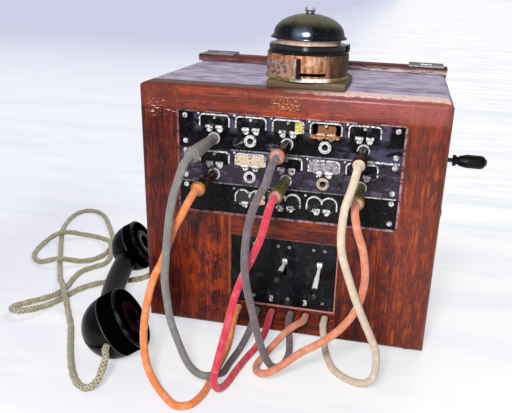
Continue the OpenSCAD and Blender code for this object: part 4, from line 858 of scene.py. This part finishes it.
# Patch cords: slot, the cotton's colour, shade and fleck, and the route from the lower rail to the plug
PATCH_CORDS = (
    ("cord_orange", ("#f08a48", "#b85a28", "#f9b98a"), [
        (-48.8, -122, 29), (-49, -129, 23.5), (-49, -137, 15), (-49, -146, 8), (-49, -158, 4.2),
        (-49, -180, 4), (-49, -206, 4), (-50, -230, 4), (-56, -248, 4), (-69, -254, 5), (-82, -248, 9),
        (-95, -239, 15), (-106, -230, 26), (-113, -220, 43), (-114, -214, 64), (-112, -206, 88),
        (-108, -200, 106), (-101, -195, 122), (-95.5, -193.5, 138), (-90.5, -190, 154),
        (-85, -186.5, 165), (-80.5, -183.5, 175), (-77.5, -178.5, 182)]),
    ("cord_grey", ("#807d7a", "#535150", "#a09c98"), [
        (-27.4, -122, 29), (-28, -129, 24.5), (-30, -137, 17.5), (-33, -147, 10.5), (-36, -160, 6.5),
        (-39, -178, 5.5), (-40, -194, 6), (-42, -204, 10), (-46, -212, 13), (-53, -218, 15.5),
        (-61, -219, 19), (-70, -217, 27), (-79, -213, 42), (-89, -209, 66), (-92.5, -207.5, 87),
        (-94, -208, 108), (-92.5, -208, 128), (-90, -208, 151), (-87.5, -206, 175), (-84.5, -204, 192),
        (-81.5, -201, 204), (-79, -198.5, 213), (-77.3, -193.5, 220)]),
    ("cord_red", ("#df2f48", "#a01530", "#ee7a82"), [
        (-10.7, -122, 29), (-11, -129, 24), (-14, -138, 15.5), (-19, -149, 8), (-25, -163, 4.2),
        (-29.5, -188, 4), (-32, -206, 4), (-34.5, -217, 4.8), (-36.5, -226, 9.5), (-38.5, -231, 18),
        (-38.5, -230.5, 28), (-36.5, -224, 42), (-33, -213, 64), (-30, -206, 82), (-26.5, -199, 100),
        (-21.5, -191.5, 116), (-15, -187, 132), (-8, -187, 150), (-4, -186, 165), (-2, -183.5, 175),
        (-0.7, -178.5, 182)]),
    ("cord_dark", ("#6b6064", "#463b41", "#8c7c81"), [
        (11.5, -122, 28.5), (13.5, -129, 23), (16, -137, 14.5), (17.5, -146, 7.5), (16.5, -156, 4.2),
        (14, -166, 4.2), (10, -175, 6.5), (6, -181.5, 12), (2, -186, 21.5), (-3, -190, 38),
        (-8, -194, 62), (-12, -199, 88), (-15.5, -203, 110), (-17.5, -204, 134), (-17, -200, 160),
        (-14, -194, 180), (-9, -189, 195), (-4.5, -183.5, 204), (-2.5, -180.5, 213),
        (-0.9, -175.5, 220)]),
    ("cord_salmon", ("#e08a66", "#b0603e", "#f3b79c"), [
        (26, -122, 31.5), (20.5, -130, 31.5), (12.5, -138, 27), (4, -147, 19), (-3, -157, 12.5),
        (-8.5, -167, 8.5), (-10.5, -177, 6.5), (-8, -186.5, 7), (-1, -193, 10), (8, -195.5, 15),
        (20, -193.5, 24), (36, -190, 38), (50, -189, 48), (64, -187, 59), (76, -184.5, 72),
        (85, -182, 87), (90, -181, 105), (91.5, -184, 126), (88, -184, 149), (82, -182, 165),
        (79, -179.5, 175), (77, -174.5, 182)]),
    ("cord_cream", ("#dcc7af", "#a9917a", "#f2e6d6"), [
        (49.2, -122, 29), (51, -129, 24), (54, -138, 15.5), (59, -148, 8), (66, -159, 4.2),
        (76, -169, 4), (86, -175, 4), (95, -178, 4.8), (102, -180.5, 8.5), (107, -182, 15),
        (109.3, -183, 25), (109.5, -183, 37), (107.5, -184.5, 50), (101, -188, 67), (92, -191, 88),
        (84, -193, 108), (76, -195, 131), (70, -197, 151), (68, -197, 170), (69, -193, 192),
        (72, -187.5, 204), (74.3, -184.5, 213), (75.6, -179.5, 220)]),
)
HANDSET_ROUTE = [
    (-149.5, -229, 27.5), (-148.5, -238.5, 21), (-150, -246, 13), (-156, -250, 6.5), (-166, -249, 4),
    (-178, -240, 4), (-192, -222, 4), (-208, -196, 4), (-232, -153, 4), (-248, -130, 5.5),
    (-258, -115.5, 9), (-267, -103, 12), (-276, -90.5, 13), (-285, -78.5, 12.5), (-294, -66, 9),
    (-305, -50.5, 5), (-327, -14, 4), (-346, 20, 4), (-366, 56, 4), (-387, 96, 4), (-399, 134, 4),
    (-402, 166, 4), (-394, 183, 4), (-376, 184, 4), (-354, 168, 4), (-326, 130, 4), (-301, 90, 4),
    (-288, 60, 4), (-285, 34, 4), (-292, 14, 4), (-304, 0, 6), (-316, -7.5, 10), (-327, -12, 12.5),
    (-339, -15.5, 10.5), (-352, -15.5, 6), (-366, -9, 4), (-378, 6, 4), (-384, 26, 4.5),
    (-383.5, 43, 7), (-380, 56, 10.5), (-373.5, 68, 12.6), (-363, 79, 10.5), (-350, 85, 6.5),
    (-330, 87, 4.5), (-310, 79, 6), (-296, 66, 10), (-285.5, 52, 12.6), (-277, 38, 10), (-271, 22, 6),
    (-271, 6, 4), (-280, -8, 4), (-289, -24, 4), (-289, -46, 4), (-285, -68, 4), (-286.5, -87.5, 4),
    (-295.5, -102, 4), (-306.5, -114, 4), (-315, -124.5, 4.5), (-317, -134.5, 6), (-312, -142.5, 8),
    (-303, -145.5, 9.5), (-293, -141, 9.5), (-285, -129, 7.5), (-279, -112, 5), (-274, -92, 4),
    (-268, -72, 4), (-256, -54, 4), (-240, -42, 4), (-220, -33, 4), (-205, -22, 4), (-197, -9, 4.5),
    (-192, 1, 7), (-188, 11, 10.5), (-182.5, 20, 15.5), (-175.5, 26.5, 20.5)
]


def make_patch_cord(number):
    name = f"patch_cord_{number}"
    slot, cotton, route = PATCH_CORDS[number - 1]
    column, row, length = PLUGS[number - 1][:3]
    x = HOLES[number - 1]
    start = Vector((x, FRONT + BUSH_DEPTH, HOLE_Z))
    end = Vector((column * JACK_PITCH, JACK_FACE - length, JACK_ROWS[row]))
    line = smooth_line([start, (x, FRONT - CORD_D, HOLE_Z), *route, end - Vector((0, CORD_D / 2, 0)), end])
    cord = cord_mesh(name + "_braid", line, CORD_D)
    give(cord, name + "_braid", braid(name + "_cotton", *cotton, 14, 1.0, 0.3), "case", 80)
    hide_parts(name)
    line_length(line) * MM
    [p * MM for p in line]
    make_plug(number)


def make_handset_cord():
    out = (HANDSET_EXIT - MOUTH_END).normalized()
    start = MOUTH_END + out * 29
    line = smooth_line([start, MOUTH_END + out * 38, *HANDSET_ROUTE,
                        CORD_ENTRY - Vector((BUSH_DEPTH + 6, 0, 0)), CORD_ENTRY], 1.2)
    cord = cord_mesh("handset_cord_braid", line, CORD_D, 16, 4, 0.16, 2.6)
    cotton = braid("handset_cotton", "#b7b08c", "#4f4a31", "#dcd7bf", 4, 1.4, 1.0)
    give(cord, "handset_cord_braid", cotton, "case", 80)
    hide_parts("handset_cord")
    line_length(line) * MM
    [p * MM for p in line]


for number in range(1, 7):
    make_patch_cord(number)
make_handset_cord()


# Screws and the bell
def screw_head(at, toward, radius, height, roll):
    """A round screw head with its slot."""
    head = turned([(0, height), (radius * 0.55, height * 0.92), (radius * 0.86, height * 0.6),
                   (radius, height * 0.15), (radius, -0.05), (0, -0.05)], (0, 0, 0), UP, 20)
    half_slot = 0.275
    groove = block((-radius * 1.3, -half_slot, height * 0.45), (radius * 1.3, half_slot, height * 2), 0)
    return settle(cut(head, groove), at, toward, roll)


def bell_ring(profile, sides=96):
    """A closed ring turned round the bell's post, with its heights in the object's own frame."""
    return turned(profile, BELL, UP, sides, True)


def make_plinth():
    lo, hi = low("bell_base"), high("bell_base")
    top = CASE_TOP + 8
    plinth = block((lo.x, lo.y, CASE_TOP), (hi.x, hi.y, top), 1.6, 3)
    post = turned([(0, top - 1), (5, top - 1), (5, top + 10), (3, top + 10), (3, hi.z - 1), (2.4, hi.z),
                   (0, hi.z)], BELL, UP, 24)
    screws = [screw_head((BELL.x + x, BELL.y + y, top), UP, 2.4, 1.0, 0.6 * x) for x in (-31, 40)
              for y in (-31, 31)]
    plinth = give(joined([plinth, post] + screws), "bell_plinth", "plinth_paint", "case")
    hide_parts("bell_base")


def make_drum_trim():
    """The bead round the drum's foot, the black collar over it, and the pale band under the gong."""
    r = (high("bell_drum").x - low("bell_drum").x) / 2
    z = low("bell_drum").z
    bead = bell_ring([(r - 1.2, z + 0.1), (r + 0.8, z + 0.1), (r + 1.3, z + 1.2), (r + 1.1, z + 2.6),
                      (r, z + 3.6), (r - 1.2, z + 3.6)])
    give(bead, "drum_foot_rim", "foot_bead", "case")
    lo, hi = low("bell_collar"), high("bell_collar")
    r, z = (hi.y - lo.y) / 2, lo.z
    collar = bell_ring([(30, z), (r - 0.6, z), (r, z + 0.6), (r, z + 2.4), (r - 1, z + 3), (r - 1, z + 4),
                        (r - 0.3, z + 4.6), (r - 0.8, z + 8), (r - 2.2, z + 9), (30, z + 9)])
    ear = block((BELL.x + r - 1, BELL.y - 3, z + 2), (hi.x, BELL.y + 3, z + 10), 0.8)
    collar = give(joined([collar, ear]), "bell_collar_ring", "collar_black", "case")
    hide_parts("bell_collar")
    band = bell_ring([(30, z + 8.8), (33, z + 8.8), (33, z + 10), (32.6, z + 10.4), (33, z + 11),
                      (33, z + 13.4), (30, z + 13.6)], 80)
    give(band, "gong_band", "band_metal", "case")


def make_gong():
    lo, hi = low("bell_gong"), high("bell_gong")
    lip, foot = (hi.x - lo.x) / 2, lo.z
    wall, height = lip - 3, hi.z - foot - 4
    post_r, steps = 3.2, 18

    def dome(radius, rise):
        """A quarter circle from the wall up to the hole for the post."""
        angles = [math.pi / 2 * k / steps for k in range(steps + 1)]
        return [(max(radius * math.cos(a), post_r), foot + 4 + rise * math.sin(a)) for a in angles]
    outside = [(lip - 0.5, foot), (lip, foot + 0.5), (lip - 0.1, foot + 1.3), (wall + 1.2, foot + 2.4),
               (wall + 0.3, foot + 3.4)] + dome(wall, height)
    inside = dome(wall - 1.6, height - 1.8)[::-1] + [(wall - 1.2, foot + 3), (lip - 2.4, foot + 0.6)]
    gong = give(bell_ring(outside + inside), "gong_shell", "gong_metal", "case", 50)
    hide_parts("bell_gong")


def make_wing_nut():
    z = high("bell_gong").z
    nut = bell_ring([(2.6, z), (4.4, z), (4.4, z + 1), (3.6, z + 2.6), (2.6, z + 3)], 28)
    wings = [block((BELL.x + x - 1.4, BELL.y - 0.8, z + 1.6), (BELL.x + x + 1.4, BELL.y + 0.8, z + 5.6), 0.7, 3)
             for x in (-3.8, 3.8)]
    nut = give(joined([nut] + wings), "wing_nut_cast", "nut_steel", "case")
    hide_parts("wing_nut")


make_plinth()
make_drum_trim()
make_gong()
make_wing_nut()


# Jacks, screws and windows of the front
def make_jack_rings():
    pale, tan = [], []
    for z in JACK_ROWS:
        for x in JACK_COLUMNS:
            ring = turned([(3.4, -0.4), (3.4, 0.2), (3.9, 0.35), (4.5, 0.15), (4.7, -0.5), (5.1, -0.5),
                           (5.3, 0.25), (5.9, 0.3), (6.25, 0), (6.25, -0.4)],
                          (x, JACK_FACE, z), FORWARD, 40, True)
            (tan if (x, z) == (JACK_COLUMNS[3], JACK_ROWS[1]) else pale).append(ring)
    give(joined(pale), "jack_rings", "ring_white", "case")
    give(joined(tan), "jack_ring_tan", "ring_tan", "case")


def make_panel_screws():
    field = [screw_head((side * STRIP_SCREW_X, STRIP_FACE, z), FORWARD, 2.75, 1.0, 0.7 * k + side)
             for k, z in enumerate(STRIP_SCREW_ROWS) for side in (-1, 1)]
    field = give(joined(field), "field_screws", "screw_white", "case")
    keys = [screw_head((x + dx, STRIP_FACE, z), FORWARD, 1.9, 0.8, 0.9 * k + dx)
            for k, x in enumerate(KEY_COLUMNS)
            for dx, z in ((-6, KEY_TOP - 8.3), (6, KEY_TOP - 8.3), (6.5, KEY_BOTTOM + 8.3))]
    give(joined(keys), "key_screws", "screw_grey", "case")
    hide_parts("panel_screws")


def taper(obj, low_z, ratio, x):
    """Narrows the lower end of a piece to a share of its width."""
    only(obj)
    bpy.context.tool_settings.mesh_select_mode = (True, False, False)
    for part in (*obj.data.edges, *obj.data.polygons):
        part.select = False
    for vertex in obj.data.vertices:
        vertex.select = vertex.co.z < (low_z + 1) * MM
    bpy.ops.object.mode_set(mode="EDIT")
    bpy.ops.transform.resize(value=(ratio, 1, 1), center_override=(x * MM, 0, low_z * MM))
    bpy.ops.object.mode_set(mode="OBJECT")


def make_window_trim():
    """Over each window a small hook and a pin's end, and under it the two pale lugs of the hinge."""
    pieces = []
    for foot, columns, height in zip(WINDOW_FEET, (JACK_COLUMNS, JACK_COLUMNS, JACK_COLUMNS[1:4]),
                                     (11.4, 11.4, 13.4)):
        top = foot + height
        for x in columns:
            pieces.append(turned([(0.5, 0), (1.2, 0), (1.5, 0.5), (1.2, 1.1), (0.5, 1.1)],
                                 (x, STRIP_FACE - 2.1, top - 1.65), FORWARD, 16, True))
            pieces.append(turned([(0, 1.1), (0.9, 0.9), (1.3, 0.2), (1.3, -0.2), (0, -0.2)],
                                 (x - 17.4, STRIP_FACE, top + 1.2), FORWARD, 14))
            for lug_x in (x - 5.25, x + 5.25):
                lug = block((lug_x - 3.3, STRIP_FACE - 1.3, foot - 5.6),
                            (lug_x + 3.3, STRIP_FACE + 0.1, foot - 2.6), 0.5)
                taper(lug, foot - 5.6, 0.55, lug_x)
                pieces.append(lug)
    give(joined(pieces), "window_trim", "chalk_white", "case")


# Segments of a plain number, as start and end on a grid three wide and five high
DIGITS = {
    "1": ((1, 0, 1, 4), (0, 0, 2, 0), (0, 3, 1, 4)),
    "2": ((0, 4, 2, 4), (2, 4, 2, 2), (2, 2, 0, 2), (0, 2, 0, 0), (0, 0, 2, 0)),
    "3": ((0, 4, 2, 4), (2, 4, 2, 0), (0.4, 2, 2, 2), (0, 0, 2, 0)),
}


def make_numbers():
    pieces = []
    unit, pen = 1.35, 0.62
    for digit, x, z in (("1", -53, 44), ("2", -13.5, 44), ("3", 24.5, 43.5)):
        for x0, z0, x1, z1 in DIGITS[digit]:
            lo = (x + min(x0, x1) * unit - pen, STRIP_FACE - 0.14, z + min(z0, z1) * unit - pen)
            hi = (x + max(x0, x1) * unit + pen, STRIP_FACE + 0.1, z + max(z0, z1) * unit + pen)
            pieces.append(block(lo, hi, 0.12, 1))
    give(joined(pieces), "key_numbers", "white_paint", "case")


def make_feet():
    lo, hi = low("feet"), high("feet")
    feet = [turned([(0, 0), (7.6, 0), (8.6, 0.5), (9, 1.2), (8.4, 3.9), (0, 3.9)], (x, y, 0))
            for x in (lo.x + 9, hi.x - 9) for y in (lo.y + 9, hi.y - 9)]
    feet = give(joined(feet), "rubber_feet", "foot_rubber", "case")
    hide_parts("feet")


def make_crank():
    lo, hi, centre = low("crank_grip"), high("crank_grip"), middle("crank_grip")
    length, r = hi.x - lo.x, (hi.y - lo.y) / 2
    grip = turned([(2.6, 0), (r - 1.6, 0), (r - 1.2, 0.6), (r - 1.2, 3.4), (r - 3, 4.2), (r - 3, 6.4),
                   (r - 1.8, 7.2), (r - 0.2, 14.5), (r, 16), (r, length - 4), (r - 0.6, length - 2.4),
                   (r - 2, length), (2.6, length)], (lo.x, centre.y, centre.z), RIGHT, 12, True)
    grip = give(grip, "grip_turned", "grip_ebonite", "grip", 18)
    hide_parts("crank_grip")
    rivet = turned([(0, 1.3), (1.6, 1.2), (2.6, 0.7), (3, 0), (0, 0)],
                   (high("crank_arm").x - 0.2, centre.y, centre.z), RIGHT, 24)
    give(rivet, "grip_rivet", "nickel", "crank")
    hub = turned([(0, 1.1), (2.2, 1), (4.2, 0.5), (4.8, -0.2), (0, -0.2)],
                 (ARM_OUT + 0.8, 0, CRANK_Z), RIGHT, 28)
    give(hub, "crank_hub_cap", "dark_steel", "crank")


def make_handset_rings():
    """On each cap of the handset the seam round its foot, the knurled rim and the raised ring of the grille."""
    turn = Euler([math.radians(a) for a in HANDSET_TURN], "XYZ").to_matrix()
    ear_end = MOUTH_END + turn @ Vector((HANDSET_L, 0, 0))
    for cap, centre, tilt, r, h in (("mouth", MOUTH_END, MOUTH_TILT, 34, 21),
                                    ("ear", ear_end, EAR_TILT, 32, 15)):
        tilt = math.radians(tilt)
        axis = turn @ Vector((math.sin(tilt), -math.cos(tilt), 0))
        for part, look, sides, profile in (
                # The seam ring is painted pale grey as a highlight along the joint
                ("seam", "seam_highlight_grey", 96,
                 [(r - 1, -0.5), (r + 0.1, -0.5), (r + 0.35, 0), (r + 0.1, 0.5), (r - 1, 0.5)]),
                ("rim", "rim_black", 96,
                 [(r - 2, h - 2.5), (r + 0.1, h - 2.5), (r + 0.4, h - 1.6), (r - 0.5, h - 0.4),
                  (r - 1.8, h + 0.25), (r - 3, h + 0.25)]),
                ("grille_ring", "rim_black", 64,
                 [(9.5, h + 0.05), (13, h + 0.05), (14, h + 0.5), (15, h + 0.05), (18, h + 0.05),
                  (18, h - 0.3), (9.5, h - 0.3)])):
            give(turned(profile, centre, axis, sides, True), f"{cap}_{part}", look, "case", 50)


make_jack_rings()
make_panel_screws()
make_window_trim()
make_numbers()
make_feet()
make_crank()
make_handset_rings()

# Finishes of the solids that show as they are
for name, look in {
        "front_frame": "mahogany_front", "top_board": "worn_board", "case_carcass": "mahogany_case",
        "rear_batten": "mahogany_trim", "rear_door": "mahogany_door", "hinge_case_leaves": "steel",
        "hinge_door_leaves": "steel", "panel_strips": "strip_rubber", "drop_frames": "chalk_white",
        "drop_magnets": "coil_brown", "line_jacks": "jack_body", "key_plates": "key_black",
        "key_lever_1": "key_lever_1", "key_lever_2": "key_lever_2", "key_lever_3": "key_lever_3",
        "key_springs": "dull_brass", "cord_bushes": "bush_brown", "crank_arm": "dark_steel",
        "generator_frame": "cast_frame", "generator_magnets": "magnet_red", "drive_gear": "spring_brass",
        "armature": "steel", "bell_drum": "drum_brass", "bell_coils": "coil_red",
        "bell_clapper": "spring_brass", "cut_out_lever": "highlit_lever", "handset_body": "handset_ebonite",
        "ear_cap": "cap_ebonite", "mouth_cap": "cap_ebonite", "handset_capsules": "nickel",
        "terminal_block": "ebonite",
        **{f"line_shutter_{i}": "shutter_black" for i in range(1, 11)},
        "line_shutter_3": "shutter_yellow", "line_shutter_4": "card_orange", "line_shutter_7": "label_cream",
        "line_shutter_9": "card_grey", "clearing_shutter_1": "shutter_peach",
        "clearing_shutter_2": "shutter_black", "clearing_shutter_3": "shutter_black"}.items():
    clothe(nodes[name], look)


# Floor, light and surroundings
def make_floor():
    """A soft cloth under the object that turns into plain white paper for the camera."""
    deselect()
    bpy.ops.mesh.primitive_plane_add(size=1, location=(-0.05, 0.1, 0))
    floor = bpy.context.object
    floor.name = "floor"
    floor.scale = (60, 60, 1)
    bpy.ops.object.transform_apply(location=True, rotation=True, scale=True)
    finish = Finish("floor_cloth")
    across, along = finish.axis("X"), finish.axis("Y")
    cloud = finish.noise(70, 4, 0.6, 2)
    # Painted shade: the floor turns lilac towards the left
    lilac_shade = finish.fade(across + cloud * 160, -130, -330)
    finish.paint(Base_Color=finish.mix(lilac_shade * 0.8, "#faf9fb", "#e0dff2"), Roughness=cloud * 0.05 + 0.9)
    far = finish.fade(along, 150, 330).larger(finish.fade(across, 210, 330))
    far = far.larger(finish.fade(across, -420, -560)).larger(finish.fade(along, -400, -620))
    # Painted shade darkening the far left corner of the backdrop
    corner = finish.fade(along, 900, 3500) * finish.fade(across, 200, -1200)
    # The pale blue streaks are painted shade of folds in the cloth
    sheet = finish.coats("#ffffff", (finish.spots(0.42, 0.62, (420, 90, 90), 4, 0.55, 5, 1.5), "#f1f3fb"),
                         (lilac_shade * 0.6, "#e9ebfa"), (corner * 0.9, "#c9cbe4"))
    paper = finish.node("ShaderNodeEmission", None, {"Color": sheet, "Strength": 1})
    seen = finish.node("ShaderNodeLightPath", None, None, "Is Camera Ray")
    cloth = Wire(finish.tree, finish.surface.outputs[0])
    blend = finish.node("ShaderNodeMixShader", None, {0: (far * 0.42 + 0.58) * seen, 1: cloth, 2: paper})
    finish.tree.links.new(blend.socket, finish.tree.nodes["Material Output"].inputs["Surface"])
    floor.data.materials.append(finish.material)


def make_world():
    """White to the camera, and dimmer where it lights the object or mirrors in it."""
    world = bpy.data.worlds.new("studio")
    bpy.context.scene.world = world
    world.use_nodes = True
    tree = world.node_tree

    def strength(ray, otherwise, seen):
        share = add_node(tree, "ShaderNodeLightPath", None, None, ray)
        return add_node(tree, "ShaderNodeMix", {"data_type": "FLOAT"}, {0: share, 2: otherwise, 3: seen})
    back = tree.nodes["Background"]
    back.inputs["Color"].default_value = tint("#f4f4fc")
    white = strength("Is Camera Ray", strength("Is Glossy Ray", 0.2, 0.45), 1)
    tree.links.new(white.socket, back.inputs["Strength"])


def lamp(name, at, target, size, power, shows=True):
    data = bpy.data.lights.new(name, "AREA")
    data.shape = "DISK"
    data.size = size
    data.energy = power
    obj = bpy.data.objects.new(name, data)
    bpy.context.scene.collection.objects.link(obj)
    obj.location = at
    obj.visible_glossy = shows
    obj.rotation_euler = (Vector(target) - Vector(at)).to_track_quat("-Z", "Y").to_euler()


make_floor()
make_world()
lamp("key", (0.02, -0.78, 0.56), (0, -0.05, 0.13), 0.16, 6.2)
lamp("fill", (-1.4, -0.7, 1.1), (-0.05, 0, 0.1), 1.0, 3.5, False)
lamp("back", (0.3, 1.0, 1.6), (0, 0, 0.2), 1.0, 20, False)

bpy.context.scene.view_settings.view_transform = "Standard"
